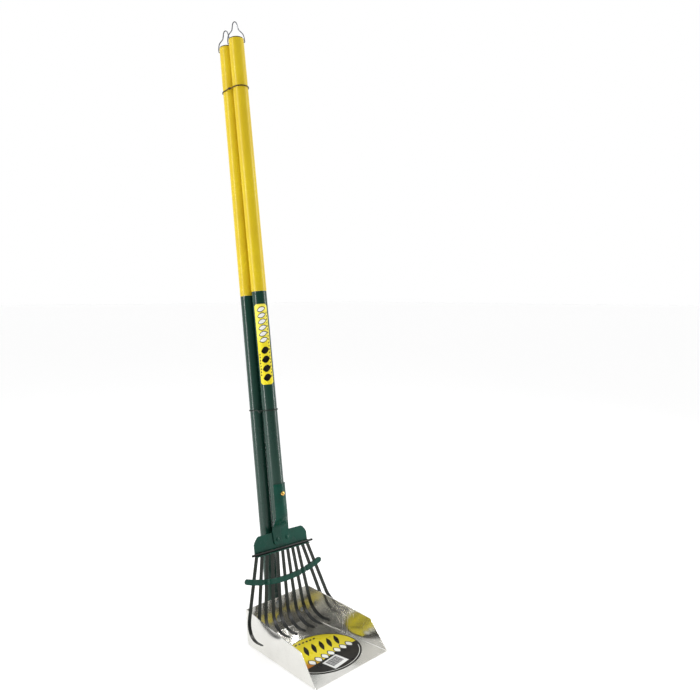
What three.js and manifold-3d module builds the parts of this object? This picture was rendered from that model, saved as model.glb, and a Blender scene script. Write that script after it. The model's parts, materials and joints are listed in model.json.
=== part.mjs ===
// Rake and pan clean-up set: a sheet aluminium scoop pan and an eleven-tine rake,
// both on long tube handles, tied together with two twisted wire ties.
// Millimetres, +Z up. The origin is the middle of the underside of the pan's floor,
// and the open front of the pan faces -Y.
import * as THREE from 'three';
import { mergeVertices, toCreasedNormals } from 'three/addons/utils/BufferGeometryUtils.js';
import Module from 'manifold-3d';

const wasm = await Module();
wasm.setup();

// ---------------------------------------------------------------- dimensions
const GAP = 0.3; // clearance between neighbouring solids

// pan
const PAN_FRONT_W = 140; // over the side walls at the front edge
const PAN_BACK_W = 121;
const PAN_DEPTH = 155;
const PAN_BACK_H = 52;
const PAN_KNEE_Y = 31; // behind the front edge
const PAN_KNEE_H = 38.1;
const PAN_T = 1.0; // sheet thickness
const PAN_BEND = 2.4; // outside bend radius
const FLAP_W = 26; // corner flaps folded behind the back wall
const FLAP_H = 40;

// handles
const HANDLE_LEAN = 0.118; // pan handle and pan back wall, radians from vertical
const PAN_AXIS_Y = 89.95; // where the pan handle's axis meets the floor plane
const CORE_R = 10.4;
const CORE_WALL = 0.9;
const LOWER_R = 11.1; // over the green sleeve
const GRIP_R = 11.4; // over the yellow sleeve
const SLEEVE_BORE = CORE_R + GAP;
const PAN_TOP = 892.5; // along the pan handle
const PAN_FOOT = 8;
const PAN_GRIP_FROM = 511;
const RAKE_TOP = 900.5; // along the rake handle
const RAKE_FOOT = 159; // at the back of its slanting end
const RAKE_FOOT_FRONT = 188;
const RAKE_GRIP_FROM = 518.5;
const RAKE_BASE = [5.5, 61.85, 0];
const RAKE_AIM = [0.4, 172.05, 895.2];
const HOLE_DROP = 5; // hanger holes below the rim
const HOLE_R = 1.2;
const HANGER_R = 0.8; // hanger wire
const HANGER_TURN = -Math.PI / 4; // hanger hinge line, turned about the handle

// rake head, in its own frame: X along the rod, -Y forward, Z up the handle
const HEAD_T = 131; // rod position along the rake handle
const HEAD_ROLL = 0.042;
const HEAD_PITCH = -0.07;
const TINE_PITCH = 9.55;
const TINE_FAN = [-0.27, -0.18, -0.155, -0.105, -0.062, -0.007, 0.056, 0.111, 0.158, 0.309, 0.342];
const TINE_W = 6.0;
const TINE_T = 1.0;
const TINE_STRAIGHT = 88.5;
const TINE_BEND_R = 29.4;
const TINE_BEND = 1.45;
const TINE_TAIL = 10.2;
const TINE_TIP_W = 3.4;
const ROD_R = 1.7;
const ROD_HALF = 58.5;
const PLATE_HALF = 50.5;
const PLATE_TOP = 24;
const PLATE_T = 1.5;
const LIP_DEPTH = 5.2;
const FAN_APEX = 170; // above the rod
const BRACE_R = 216; // about the fan's apex
const BRACE_W = 8;
const BRACE_T = 1.0;
const BRACE_HALF_ANGLE = 0.326;

// socket
const SOCKET_R = LOWER_R + GAP + 0.6; // middle of the sheet
const SOCKET_T = 1.2;
const SOCKET_HALF = 1.065; // half of its wrap, radians
const SOCKET_TOP = 228;
const SOCKET_FLARE = 181;
const TANG_SPREAD = 1.15; // the tang's width over the flattened shell's
const SCREW_T = 213;

// labels
const LABEL_T = 0.3;
const LABEL_A = 60.5;
const LABEL_B = 50.5;
const LABEL_Y = -16.4;
const TAG_FROM = 378;
const TAG_TO = 499;
const TAG_HALF = 0.92; // half of its wrap, radians
const TAG_TURN = -0.66; // its middle, turned to the left of the front

// ties
const TIE_R = 0.6;
const TIE_UPPER = 824; // along the pan handle
const TIE_LOWER = 336;

// ---------------------------------------------------------------- materials
const paint = (color, metalness, roughness) =>
  new THREE.MeshStandardMaterial({ color, metalness, roughness });
const ALUMINIUM = paint(0xc9cac6, 1.0, 0.28);
const GREEN = paint(0x1f4a3e, 0.1, 0.35);
const GREEN_VINYL = paint(0x21463c, 0.0, 0.3);
const YELLOW = paint(0xe3c31f, 0.0, 0.3);
const DARK_GREEN = paint(0x37463b, 0.3, 0.4);
const BLACK = paint(0x17191a, 0.2, 0.5);
const PLUG = paint(0x3a3420, 0.0, 0.6);
const WIRE = paint(0x8d8f90, 1.0, 0.35);
const STEEL = paint(0xa3a5a6, 1.0, 0.35);
const BRASS = paint(0xc9a24a, 1.0, 0.3);
const LABEL = paint(0xe2d430, 0.0, 0.4);
const TIE_BROWN = paint(0x4b2a16, 0.1, 0.5);
const TIE_GREEN = paint(0x16251d, 0.1, 0.5);

// ---------------------------------------------------------------- helpers
const V = (x, y, z) => new THREE.Vector3(x, y, z);

/** Flips a closed geometry whose faces point inwards. */
function outward(geometry) {
  const p = geometry.attributes.position;
  const index = geometry.index.array;
  const [a, b, c] = [V(), V(), V()];
  let volume = 0;
  for (let i = 0; i < index.length; i += 3) {
    a.fromBufferAttribute(p, index[i]);
    b.fromBufferAttribute(p, index[i + 1]);
    c.fromBufferAttribute(p, index[i + 2]);
    volume += a.dot(b.cross(c));
  }
  if (volume < 0) {
    for (let i = 0; i < index.length; i += 3) {
      [index[i + 1], index[i + 2]] = [index[i + 2], index[i + 1]];
    }
  }
  return geometry;
}

/** Joins rings of points into one closed skin. Caps are fans, or strips on a folded ring. */
function loft(rings, cap = 'fan') {
  const m = rings[0].length;
  const positions = rings.flat().flatMap((v) => [v.x, v.y, v.z]);
  const index = [];
  for (let r = 0; r + 1 < rings.length; r += 1) {
    for (let i = 0; i < m; i += 1) {
      const j = (i + 1) % m;
      const [a, b, c, d] = [r * m + i, r * m + j, (r + 1) * m + j, (r + 1) * m + i];
      index.push(a, b, c, a, c, d);
    }
  }
  for (const [base, flip] of [[0, true], [(rings.length - 1) * m, false]]) {
    const tri = (a, b, c) => (flip ? index.push(base + a, base + c, base + b)
      : index.push(base + a, base + b, base + c));
    if (cap === 'fan') {
      for (let i = 1; i + 1 < m; i += 1) tri(0, i, i + 1);
    } else {
      for (let i = 0; i + 1 < m / 2; i += 1) {
        const [a, b, c, d] = [i, i + 1, m - 2 - i, m - 1 - i];
        tri(a, b, c);
        if (c !== d) tri(a, c, d);
      }
    }
  }
  const geometry = new THREE.BufferGeometry();
  geometry.setAttribute('position', new THREE.Float32BufferAttribute(positions, 3));
  geometry.setIndex(index);
  return outward(geometry);
}

/** Sweeps a round wire along a list of points. */
function wire(points, radius, sides = 10) {
  let normal = V(0, 0, 1);
  const rings = points.map((p, k) => {
    const ahead = points[Math.min(k + 1, points.length - 1)];
    const behind = points[Math.max(k - 1, 0)];
    const tangent = ahead.clone().sub(behind).normalize();
    if (k === 0 && Math.abs(tangent.z) > 0.9) normal = V(1, 0, 0);
    normal = normal.clone().sub(tangent.clone().multiplyScalar(normal.dot(tangent))).normalize();
    const side = tangent.clone().cross(normal);
    return Array.from({ length: sides }, (_, i) => {
      const a = (2 * Math.PI * i) / sides;
      return p.clone()
        .addScaledVector(normal, radius * Math.cos(a))
        .addScaledVector(side, radius * Math.sin(a));
    });
  });
  return loft(rings);
}

/** A closed lathe about Z, from [radius, z] pairs. */
function turned(profile, segments = 40) {
  const closed = [...profile];
  const [first, last] = [profile[0], profile[profile.length - 1]];
  if (first[0] > 1e-6 || last[0] > 1e-6) closed.push(first);
  const geometry = new THREE.LatheGeometry(closed.map(([r, z]) => new THREE.Vector2(r, z)), segments);
  geometry.rotateX(Math.PI / 2);
  return outward(geometry);
}

/** A hollow tube about Z. */
const tube = (outer, inner, from, to) =>
  turned([[outer, from], [outer, to], [inner, to], [inner, from]]);

/** A flat plate: an outline in XY, extruded up Z. */
function plate(outline, thickness, holes = []) {
  const shape = new THREE.Shape(outline.map(([x, y]) => new THREE.Vector2(x, y)));
  for (const hole of holes) {
    shape.holes.push(new THREE.Path(hole.map(([x, y]) => new THREE.Vector2(x, y))));
  }
  return new THREE.ExtrudeGeometry(shape, { depth: thickness, bevelEnabled: false });
}

/** Points on a circle or ellipse. */
const circle = (x, y, a, b = a, n = 20) => Array.from({ length: n }, (_, i) => {
  const t = (2 * Math.PI * i) / n;
  return [x + a * Math.cos(t), y + b * Math.sin(t)];
});

/** A rectangle with rounded corners, as an outline. */
function roundedBox(x0, y0, x1, y1, r, steps = 5) {
  const corners = [[x1 - r, y1 - r, 0], [x0 + r, y1 - r, 1], [x0 + r, y0 + r, 2], [x1 - r, y0 + r, 3]];
  return corners.flatMap(([cx, cy, q]) => Array.from({ length: steps + 1 }, (_, i) => {
    const t = (Math.PI / 2) * (q + i / steps);
    return [cx + r * Math.cos(t), cy + r * Math.sin(t)];
  }));
}

function solid(geometry) {
  const bare = geometry.clone();
  bare.deleteAttribute('normal');
  bare.deleteAttribute('uv');
  const merged = mergeVertices(bare, 1e-4);
  return new wasm.Manifold(new wasm.Mesh({
    numProp: 3,
    vertProperties: new Float32Array(merged.attributes.position.array),
    triVerts: new Uint32Array(merged.index.array),
  }));
}

function skin(manifold) {
  const mesh = manifold.getMesh();
  const geometry = new THREE.BufferGeometry();
  geometry.setAttribute('position', new THREE.Float32BufferAttribute(mesh.vertProperties, 3));
  geometry.setIndex(Array.from(mesh.triVerts));
  return geometry;
}

/** Cuts each tool away from the first geometry. */
const cut = (geometry, ...tools) =>
  skin(tools.reduce((left, tool) => left.subtract(solid(tool)), solid(geometry)));

/** A cylinder between two points. */
function pin(from, to, radius, segments = 20) {
  const axis = to.clone().sub(from);
  const geometry = turned([[0, 0], [radius, 0], [radius, axis.length()], [0, axis.length()]], segments);
  geometry.applyQuaternion(new THREE.Quaternion().setFromUnitVectors(V(0, 0, 1), axis.normalize()));
  return geometry.translate(from.x, from.y, from.z);
}

/** A domed rivet or screw head with its shank: dome towards +Z, shank down to -Z. */
const rivet = (headR, headH, shankR, shankL, tailR = 0, tailH = 0) => {
  const profile = [[0, headH]];
  for (const t of [0.45, 0.8, 1]) {
    profile.push([headR * t, headH * Math.sqrt(Math.max(0, 1 - t * t * 0.96))]);
  }
  profile.push([headR, 0], [shankR, 0], [shankR, -shankL]);
  if (tailR > 0) profile.push([tailR, -shankL], [tailR * 0.8, -shankL - tailH], [0, -shankL - tailH]);
  else profile.push([0, -shankL]);
  return turned(profile, 16);
};

const group = new THREE.Group();
group.name = 'rake_and_pan_set';

function add(name, geometry, material, matrix = null, crease = 0.6) {
  let g = geometry.clone();
  g.deleteAttribute('normal');
  g.deleteAttribute('uv');
  if (matrix) g.applyMatrix4(matrix);
  g = toCreasedNormals(mergeVertices(g, 1e-4), crease);
  const mesh = new THREE.Mesh(g, material);
  mesh.name = name;
  group.add(mesh);
}

// ---------------------------------------------------------------- frames
const panFrame = new THREE.Matrix4()
  .makeTranslation(0, PAN_AXIS_Y, 0)
  .multiply(new THREE.Matrix4().makeRotationX(-HANDLE_LEAN));
const rakeAxis = V(...RAKE_AIM).sub(V(...RAKE_BASE)).normalize();
const rakeRight = V(0, 1, 0).cross(rakeAxis).normalize();
const rakeFrame = new THREE.Matrix4()
  .makeBasis(rakeRight, rakeAxis.clone().cross(rakeRight), rakeAxis)
  .setPosition(V(...RAKE_BASE));
const headFrame = rakeFrame.clone()
  .multiply(new THREE.Matrix4().makeTranslation(0, 0, HEAD_T))
  .multiply(new THREE.Matrix4().makeRotationY(HEAD_ROLL))
  .multiply(new THREE.Matrix4().makeRotationX(HEAD_PITCH));
const rakeInverse = rakeFrame.clone().invert();

// ---------------------------------------------------------------- pan
const LEAN = Math.tan(HANDLE_LEAN);
const FRONT_Y = -PAN_DEPTH / 2;
const BACK_Y = PAN_DEPTH / 2;
const halfAt = (y) => PAN_FRONT_W / 2
  + ((PAN_BACK_W - PAN_FRONT_W) / 2) * ((y - FRONT_Y) / PAN_DEPTH);

/** The tray's solid outside (inset 0) or inside (inset one thickness), with round lower edges. */
function trough(inset, fromY, toY, top) {
  const r = PAN_BEND - inset;
  const section = (y) => {
    const half = halfAt(y) - inset;
    const ring = [];
    for (let i = 0; i <= 6; i += 1) {
      const t = (Math.PI / 2) * (i / 6);
      ring.push([-half + r - r * Math.cos(t), inset + r - r * Math.sin(t)]);
    }
    const mirrored = ring.map(([x, z]) => [-x, z]).reverse();
    return [...ring, ...mirrored, [half, top], [-half, top]].map(([x, z]) => V(x, y, z));
  };
  return loft([section(fromY), section(toY)]);
}

/** A prism across X from an outline in Y and Z. */
function across(outline, half = 90) {
  const g = plate(outline, 2 * half);
  g.applyMatrix4(new THREE.Matrix4().makeBasis(V(0, 1, 0), V(0, 0, 1), V(1, 0, 0)));
  return g.translate(-half, 0, 0);
}

const bendY = BACK_Y - (PAN_BEND * (1 - Math.sin(HANDLE_LEAN))) / Math.cos(HANDLE_LEAN);

/** Points round the bend between the floor and the back wall, at a radius about its centre. */
const backBend = (r) => Array.from({ length: 7 }, (_, i) => {
  const a = -Math.PI / 2 + (Math.PI / 2 - HANDLE_LEAN) * (i / 6);
  return [bendY + r * Math.cos(a), PAN_BEND + r * Math.sin(a)];
});

/** A slab parallel to the back wall, between two distances behind its outer face. */
const slab = (near, far, low, high) => across([
  [BACK_Y + near + low * LEAN, low], [BACK_Y + far + low * LEAN, low],
  [BACK_Y + far + high * LEAN, high], [BACK_Y + near + high * LEAN, high],
]);

function panSheet() {
  const outside = solid(trough(0, FRONT_Y, BACK_Y + 20, 80));
  const inside = solid(trough(PAN_T, FRONT_Y - 10, BACK_Y + 21, 90));
  const high = 80;
  const beforeWall = solid(across([
    [FRONT_Y - 20, -20], [bendY, -20], ...backBend(PAN_BEND - PAN_T),
    [BACK_Y - PAN_T / Math.cos(HANDLE_LEAN) + 100 * LEAN, 100], [FRONT_Y - 20, 100],
  ]));
  const beforeBack = solid(across([
    [FRONT_Y, -20], [bendY, -20], ...backBend(PAN_BEND), [BACK_Y + 100 * LEAN, 100], [FRONT_Y, 100],
  ]));
  const tray = outside.intersect(beforeBack).subtract(inside.intersect(beforeWall));
  const flapStack = outside
    .intersect(solid(slab(-0.01, GAP + PAN_T, 6, FLAP_H)))
    .subtract(inside.intersect(solid(slab(-1, GAP, -5, high))));
  const middle = solid(plate([[-halfAt(BACK_Y) + FLAP_W, 0], [halfAt(BACK_Y) - FLAP_W, 0],
    [halfAt(BACK_Y) - FLAP_W, 140], [-halfAt(BACK_Y) + FLAP_W, 140]], 100));
  const flaps = flapStack.subtract(middle);
  const top = PAN_BACK_H;
  const silhouette = solid(across([
    [FRONT_Y, 0], [BACK_Y + 20, 0], [BACK_Y + 20, top], [BACK_Y - PAN_T + top * LEAN, top],
    [FRONT_Y + PAN_KNEE_Y + 1.5, PAN_KNEE_H + 0.6], [FRONT_Y + PAN_KNEE_Y - 0.6, PAN_KNEE_H - 0.2],
    [FRONT_Y + PAN_KNEE_Y - 2, PAN_KNEE_H - 2], [FRONT_Y + 0.6, 1.2], [FRONT_Y, 1],
  ]));
  let sheet = tray.add(flaps).intersect(silhouette);
  for (const x of [-RIVET_X, RIVET_X]) sheet = sheet.subtract(solid(wallPin(x, RIVET_Z, 2.05, -6, 6)));
  for (const t of BOLTS) sheet = sheet.subtract(solid(wallPin(0, boltHeight(t), 2.9, -6, 6)));
  return skin(sheet);
}

const RIVET_X = 44;
const RIVET_Z = 19;
const BOLTS = [18, 40]; // along the pan handle
const AXIS_OFF = (PAN_AXIS_Y - BACK_Y) * Math.cos(HANDLE_LEAN); // axis behind the wall's face

/** Height on the back wall of a bolt that crosses the handle's axis at t. */
const boltHeight = (t) => t * Math.cos(HANDLE_LEAN) + AXIS_OFF * Math.sin(HANDLE_LEAN);

/** A cylinder square to the back wall, at height z, from and to distances behind its outer face. */
function wallPin(x, z, radius, from, to) {
  const out = V(0, Math.cos(HANDLE_LEAN), -Math.sin(HANDLE_LEAN));
  const face = V(x, BACK_Y + z * LEAN, z);
  return pin(face.clone().addScaledVector(out, from), face.clone().addScaledVector(out, to), radius);
}

/** The frame of a fixing through the back wall: +Z comes out of the wall, into the pan. */
function wallFrame(x, z, behind) {
  const out = V(0, Math.cos(HANDLE_LEAN), -Math.sin(HANDLE_LEAN));
  const at = V(x, BACK_Y + z * LEAN, z).addScaledVector(out, behind);
  const inward = out.clone().negate();
  const right = V(1, 0, 0);
  return new THREE.Matrix4().makeBasis(right, inward.clone().cross(right), inward).setPosition(at);
}

add('pan_sheet', panSheet(), ALUMINIUM, null, 0.5);
['left', 'right'].forEach((side, k) => {
  const grip = PAN_T * 2 + GAP * 3;
  add(`pan_rivet_${side}`, rivet(3.4, 1.3, 1.7, grip, 2.9, 1.1), STEEL,
    wallFrame(k ? RIVET_X : -RIVET_X, RIVET_Z, -PAN_T - GAP));
});

// the handle stands off the wall on two saddle washers, with a bolt through each
['lower', 'upper'].forEach((which, k) => {
  const z = boltHeight(BOLTS[k]);
  const block = plate(roundedBox(-8, -7, 8, 7, 2), 7).translate(0, 0, -7);
  const bore = pin(V(0, -12, -AXIS_OFF + GAP), V(0, 12, -AXIS_OFF + GAP), LOWER_R + GAP, 48);
  const saddle = cut(block, bore, pin(V(0, 0, -9), V(0, 0, 1), 2.9));
  add(`pan_saddle_${which}`, saddle, BLACK, wallFrame(0, z, GAP));
  const shank = AXIS_OFF + LOWER_R + 6.2;
  add(`pan_bolt_${which}`, rivet(5.6, 2.6, 2.5, shank + PAN_T + GAP), STEEL, wallFrame(0, z, -PAN_T - GAP));
  const hex = circle(0, 0, 5.2, 5.2, 6);
  const nut = plate(hex, 4, [circle(0, 0, 2.5 + GAP, 2.5 + GAP, 20)]);
  add(`pan_nut_${which}`, nut, STEEL, wallFrame(0, z, AXIS_OFF + LOWER_R + GAP + 4));
});

// ---------------------------------------------------------------- handles
const hingeLine = V(Math.cos(HANGER_TURN), Math.sin(HANGER_TURN), 0);

/** Tube core, lower sleeve, grip sleeve, end plug and hanger of one handle. */
function handle(prefix, frame, foot, join, top, bolts) {
  const hang = V(0, 0, top - HOLE_DROP);
  const drill = pin(hang.clone().addScaledVector(hingeLine, -20),
    hang.clone().addScaledVector(hingeLine, 20), HOLE_R);
  add(`${prefix}_handle_core`, cut(tube(CORE_R, CORE_R - CORE_WALL, foot, top), drill, ...bolts), STEEL, frame);
  const lower = tube(LOWER_R, SLEEVE_BORE, foot, join - GAP / 2);
  add(`${prefix}_lower_sleeve`, bolts.length ? cut(lower, ...bolts) : lower, GREEN_VINYL, frame);
  add(`${prefix}_grip_sleeve`, cut(tube(GRIP_R, SLEEVE_BORE, join + GAP / 2, top), drill), YELLOW, frame);
  const rim = top + GAP;
  const skirt = CORE_R - CORE_WALL - GAP;
  add(`${prefix}_end_plug`, turned([
    [0, top - 2.8], [skirt, top - 2.8], [skirt, rim], [GRIP_R - 0.3, rim], [GRIP_R - 0.35, rim + 0.9],
    [9.4, rim + 1.7], [6.4, rim + 2.4], [3.2, rim + 2.75], [0, rim + 2.85],
  ]), PLUG, frame);
  const outline = [[8.7, 0], [10.8, 0], [12.5, 0.35], [12.75, 2.4], [12.3, 7.5], [11.1, 12.6], [8.2, 16.4],
    [5.3, 19.8], [4.2, 24], [3.3, 28.6], [2.0, 31.4], [0, 32.6]];
  const points = [...outline, ...outline.slice(0, -1).reverse().map(([s, z]) => [-s, z])]
    .map(([s, z]) => hang.clone().addScaledVector(hingeLine, s).add(V(0, 0, z)));
  const path = new THREE.CatmullRomCurve3(points, false, 'centripetal').getPoints(46);
  add(`${prefix}_hanger`, wire(path, HANGER_R, 8), WIRE, frame, 1.2);
}

const boltHoles = BOLTS.map((t) => pin(V(0, -20, t), V(0, 20, t), 2.8));
handle('pan', panFrame, PAN_FOOT, PAN_GRIP_FROM, PAN_TOP, boltHoles);
const skirtR = CORE_R - CORE_WALL - GAP;
add('pan_foot_plug', turned([[0, PAN_FOOT - 2.2], [LOWER_R - 0.4, PAN_FOOT - 2.2], [LOWER_R - 0.1, PAN_FOOT - 1.6],
  [LOWER_R - 0.1, PAN_FOOT - GAP], [skirtR, PAN_FOOT - GAP], [skirtR, PAN_FOOT + 4], [0, PAN_FOOT + 4]]), BLACK,
panFrame);
const screwHole = pin(V(0, -20, SCREW_T), V(0, 0, SCREW_T), 1.9);
/** The block that a slanting saw cut takes off the rake tube's foot, highest at the front. */
function footCut() {
  const [rise, run] = [RAKE_FOOT_FRONT - RAKE_FOOT, 2 * CORE_R + 3.2];
  const block = new THREE.BoxGeometry(60, 80, 60).translate(0, 0, -30);
  block.deleteAttribute('normal');
  block.deleteAttribute('uv');
  return block.rotateX(-Math.atan2(rise, run)).translate(0, 0, RAKE_FOOT + rise / 2);
}
handle('rake', rakeFrame, RAKE_FOOT, RAKE_GRIP_FROM, RAKE_TOP, [screwHole, footCut()]);

// ---------------------------------------------------------------- labels
add('pan_label', plate(circle(0, LABEL_Y, LABEL_A, LABEL_B, 64), LABEL_T).translate(0, 0, PAN_T + GAP), LABEL);

/** A label wrapped round the front of the rake handle, with rounded corners. */
function wrappedLabel() {
  const radius = LOWER_R + 0.25;
  const corner = 5;
  const rows = [];
  for (const s of [0, 0.03, 0.1, 0.25, 0.5, 1]) rows.push(TAG_FROM + s * corner);
  for (const s of [1, 0.5, 0.25, 0.1, 0.03, 0]) rows.push(TAG_TO - s * corner);
  const rings = rows.map((z) => {
    const depth = Math.min(z - TAG_FROM, TAG_TO - z, corner);
    const shy = corner - Math.sqrt(Math.max(0, corner ** 2 - (corner - depth) ** 2));
    const half = TAG_HALF - shy / radius;
    const arc = Array.from({ length: 15 }, (_, i) => TAG_TURN - half + (2 * half * i) / 14);
    const at = (r) => (a) => V(r * Math.sin(a), -r * Math.cos(a), z);
    return [...arc.map(at(radius)), ...arc.slice().reverse().map(at(radius + LABEL_T))];
  });
  return loft(rings, 'strip');
}
add('handle_label', wrappedLabel(), LABEL, rakeFrame, 0.9);

// ---------------------------------------------------------------- rake socket
/** A half shell on the front of the handle that opens out into a flat tang on the head plate. */
function socketSheet() {
  const steps = 10;
  const tangFrame = rakeInverse.clone().multiply(headFrame);
  const angles = Array.from({ length: steps + 1 }, (_, i) => -SOCKET_HALF + (2 * SOCKET_HALF * i) / steps);
  const ring = (t, k, z, narrow, side) => angles.map((a) => {
    const r = SOCKET_R + side * SOCKET_T / 2;
    const round = V(r * Math.sin(a), -r * Math.cos(a), t);
    const flat = V(SOCKET_R * TANG_SPREAD * a * narrow, -0.1 - side * SOCKET_T / 2, z).applyMatrix4(tangFrame);
    return round.lerp(flat, k);
  });
  const rows = [[SOCKET_TOP, 0, 60, 1], [215, 0, 60, 1], [200, 0, 60, 1], [SOCKET_FLARE + 6, 0, 50, 1]];
  for (let i = 0; i <= 10; i += 1) {
    const s = i / 10;
    const eased = s * s * (3 - 2 * s);
    rows.push([SOCKET_FLARE - 24 * s, eased, 50 - 24 * s, 1]);
  }
  for (const [z, narrow] of [[20, 1.0], [14, 1.0], [9, 0.97], [6.5, 0.88], [5.2, 0.74], [4.6, 0.55]]) {
    rows.push([150, 1, z, narrow]);
  }
  const rings = rows.map(([t, k, z, narrow]) =>
    [...ring(t, k, z, narrow, -1), ...ring(t, k, z, narrow, 1).reverse()]);
  return loft(rings, 'strip');
}
const headInRake = rakeInverse.clone().multiply(headFrame);
const headPin = (x, z, radius, from = -12, to = 12) => {
  const g = pin(V(x, from, z), V(x, to, z), radius);
  return g;
};
const RIVETS = [[-7.5, 13], [10.5, 13]];
const socketHoles = RIVETS.map(([x, z]) => headPin(x, z, 2.0).applyMatrix4(headInRake));
add('rake_socket', cut(socketSheet(), screwHole, ...socketHoles), GREEN, rakeFrame, 0.7);
const screwFrame = rakeFrame.clone().multiply(new THREE.Matrix4()
  .makeBasis(V(1, 0, 0), V(0, 0, 1), V(0, -1, 0))
  .setPosition(V(0, -(SOCKET_R + SOCKET_T / 2 + GAP), SCREW_T)));
add('socket_screw', rivet(3.2, 1.9, 1.5, 9), BRASS, screwFrame);

// ---------------------------------------------------------------- rake head
const tineXs = TINE_FAN.map((_, i) => (i - 5) * TINE_PITCH);

function headPlate() {
  const [y0, y1] = [TINE_T / 2 + GAP, TINE_T / 2 + GAP + PLATE_T];
  const lipTop = -ROD_R - GAP - 0.7;
  const outline = [[-PLATE_HALF, lipTop - PLATE_T + 0.4], [PLATE_HALF, lipTop - PLATE_T + 0.4],
    [PLATE_HALF, 13], [PLATE_HALF - 1.6, 16.5], [PLATE_HALF - 6.4, 22.4], [PLATE_HALF - 9.4, PLATE_TOP],
    [-PLATE_HALF + 9.4, PLATE_TOP], [-PLATE_HALF + 6.4, 22.4], [-PLATE_HALF + 1.6, 16.5], [-PLATE_HALF, 13]];
  const flat = plate(outline, PLATE_T);
  flat.applyMatrix4(new THREE.Matrix4().makeBasis(V(1, 0, 0), V(0, 0, 1), V(0, -1, 0)));
  flat.translate(0, y1, 0);
  const lip = across([[y1 - 0.6, lipTop - PLATE_T], [-LIP_DEPTH + 0.6, lipTop - PLATE_T],
    [-LIP_DEPTH, lipTop - PLATE_T + 0.5], [-LIP_DEPTH, lipTop - 0.3], [-LIP_DEPTH + 0.4, lipTop],
    [y0 + 0.2, lipTop], [y1, lipTop], [y1, lipTop - PLATE_T + 0.6]], PLATE_HALF);
  let sheet = solid(flat).add(solid(lip));
  for (const [k, x] of tineXs.entries()) {
    const lean = Math.tan(TINE_FAN[k]);
    const centre = x + lean * -(lipTop - PLATE_T / 2);
    const half = TINE_W / 2 + 0.4 + Math.abs(lean) * 1.2;
    const slot = plate([[centre - half, -y0], [centre + half, -y0],
      [centre + half, y0 - 0.01], [centre - half, y0 - 0.01]], 8).translate(0, 0, lipTop - 5);
    sheet = sheet.subtract(solid(slot));
  }
  for (const [x, z] of RIVETS) sheet = sheet.subtract(solid(headPin(x, z, 2.0)));
  return skin(sheet);
}
add('head_plate', headPlate(), GREEN, headFrame);
RIVETS.forEach(([x, z], k) => {
  const frame = headFrame.clone().multiply(new THREE.Matrix4()
    .makeBasis(V(1, 0, 0), V(0, 0, 1), V(0, -1, 0))
    .setPosition(V(x, -0.1 - SOCKET_T / 2 - GAP, z)));
  const grip = 0.1 + SOCKET_T / 2 + TINE_T / 2 + PLATE_T + 3 * GAP;
  add(`head_rivet_${k ? 'right' : 'left'}`, rivet(3.0, 1.2, 1.65, grip, 2.6, 0.9), GREEN, frame);
});
const rodY = -(TINE_T / 2 + GAP + ROD_R);
add('cross_rod', turned([[0, -ROD_HALF], [ROD_R - 0.3, -ROD_HALF], [ROD_R, -ROD_HALF + 0.4],
  [ROD_R, ROD_HALF - 0.4], [ROD_R - 0.3, ROD_HALF], [0, ROD_HALF]], 20)
  .rotateY(Math.PI / 2).translate(0, rodY, -0.7), BLACK, headFrame);

// ---------------------------------------------------------------- tines
/** Distance down a tine at which it crosses the brace's centre line. */
function braceDrop(k) {
  const a = TINE_FAN[k];
  const [x, s, c] = [tineXs[k], Math.sin(a), Math.cos(a)];
  const b = x * s + FAN_APEX * c;
  return -b + Math.sqrt(b * b - (x * x + FAN_APEX ** 2 - BRACE_R ** 2));
}

function tine(k) {
  const a = TINE_FAN[k];
  const down = V(Math.sin(a), 0, -Math.cos(a));
  const side = V(Math.cos(a), 0, Math.sin(a));
  const front = V(0, -1, 0);
  const root = V(tineXs[k], 0, 0);
  const rings = [];
  const ring = (at, out, half) => {
    const [w, t] = [side.clone().multiplyScalar(half), out.clone().multiplyScalar(TINE_T / 2)];
    rings.push([at.clone().sub(w).sub(t), at.clone().add(w).sub(t),
      at.clone().add(w).add(t), at.clone().sub(w).add(t)]);
  };
  for (const l of [-0.8, 20, 55, TINE_STRAIGHT]) ring(root.clone().addScaledVector(down, l), front, TINE_W / 2);
  const knee = root.clone().addScaledVector(down, TINE_STRAIGHT);
  const steps = 12;
  for (let i = 1; i <= steps; i += 1) {
    const t = (TINE_BEND * i) / steps;
    const at = knee.clone().addScaledVector(down, TINE_BEND_R * Math.sin(t))
      .addScaledVector(front, TINE_BEND_R * (1 - Math.cos(t)));
    const out = front.clone().multiplyScalar(Math.cos(t)).addScaledVector(down, -Math.sin(t));
    ring(at, out, TINE_W / 2);
  }
  const end = knee.clone().addScaledVector(down, TINE_BEND_R * Math.sin(TINE_BEND))
    .addScaledVector(front, TINE_BEND_R * (1 - Math.cos(TINE_BEND)));
  const ahead = down.clone().multiplyScalar(Math.cos(TINE_BEND)).addScaledVector(front, Math.sin(TINE_BEND));
  const out = front.clone().multiplyScalar(Math.cos(TINE_BEND)).addScaledVector(down, -Math.sin(TINE_BEND));
  for (const [l, w] of [[3, 0.97], [7.5, 0.8], [TINE_TAIL, TINE_TIP_W / TINE_W]]) {
    ring(end.clone().addScaledVector(ahead, l), out, (TINE_W / 2) * w);
  }
  return loft(rings);
}
const RIVETED = [2, 8]; // third and ninth tines
const bracePoint = (k) => V(tineXs[k], 0, 0)
  .addScaledVector(V(Math.sin(TINE_FAN[k]), 0, -Math.cos(TINE_FAN[k])), braceDrop(k));
TINE_FAN.forEach((_, k) => {
  let g = tine(k);
  if (RIVETED.includes(k)) {
    const at = bracePoint(k);
    g = cut(g, headPin(at.x, at.z, 1.25));
  }
  add(`tine_${String(k + 1).padStart(2, '0')}`, g, DARK_GREEN, headFrame, 0.5);
});

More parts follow.
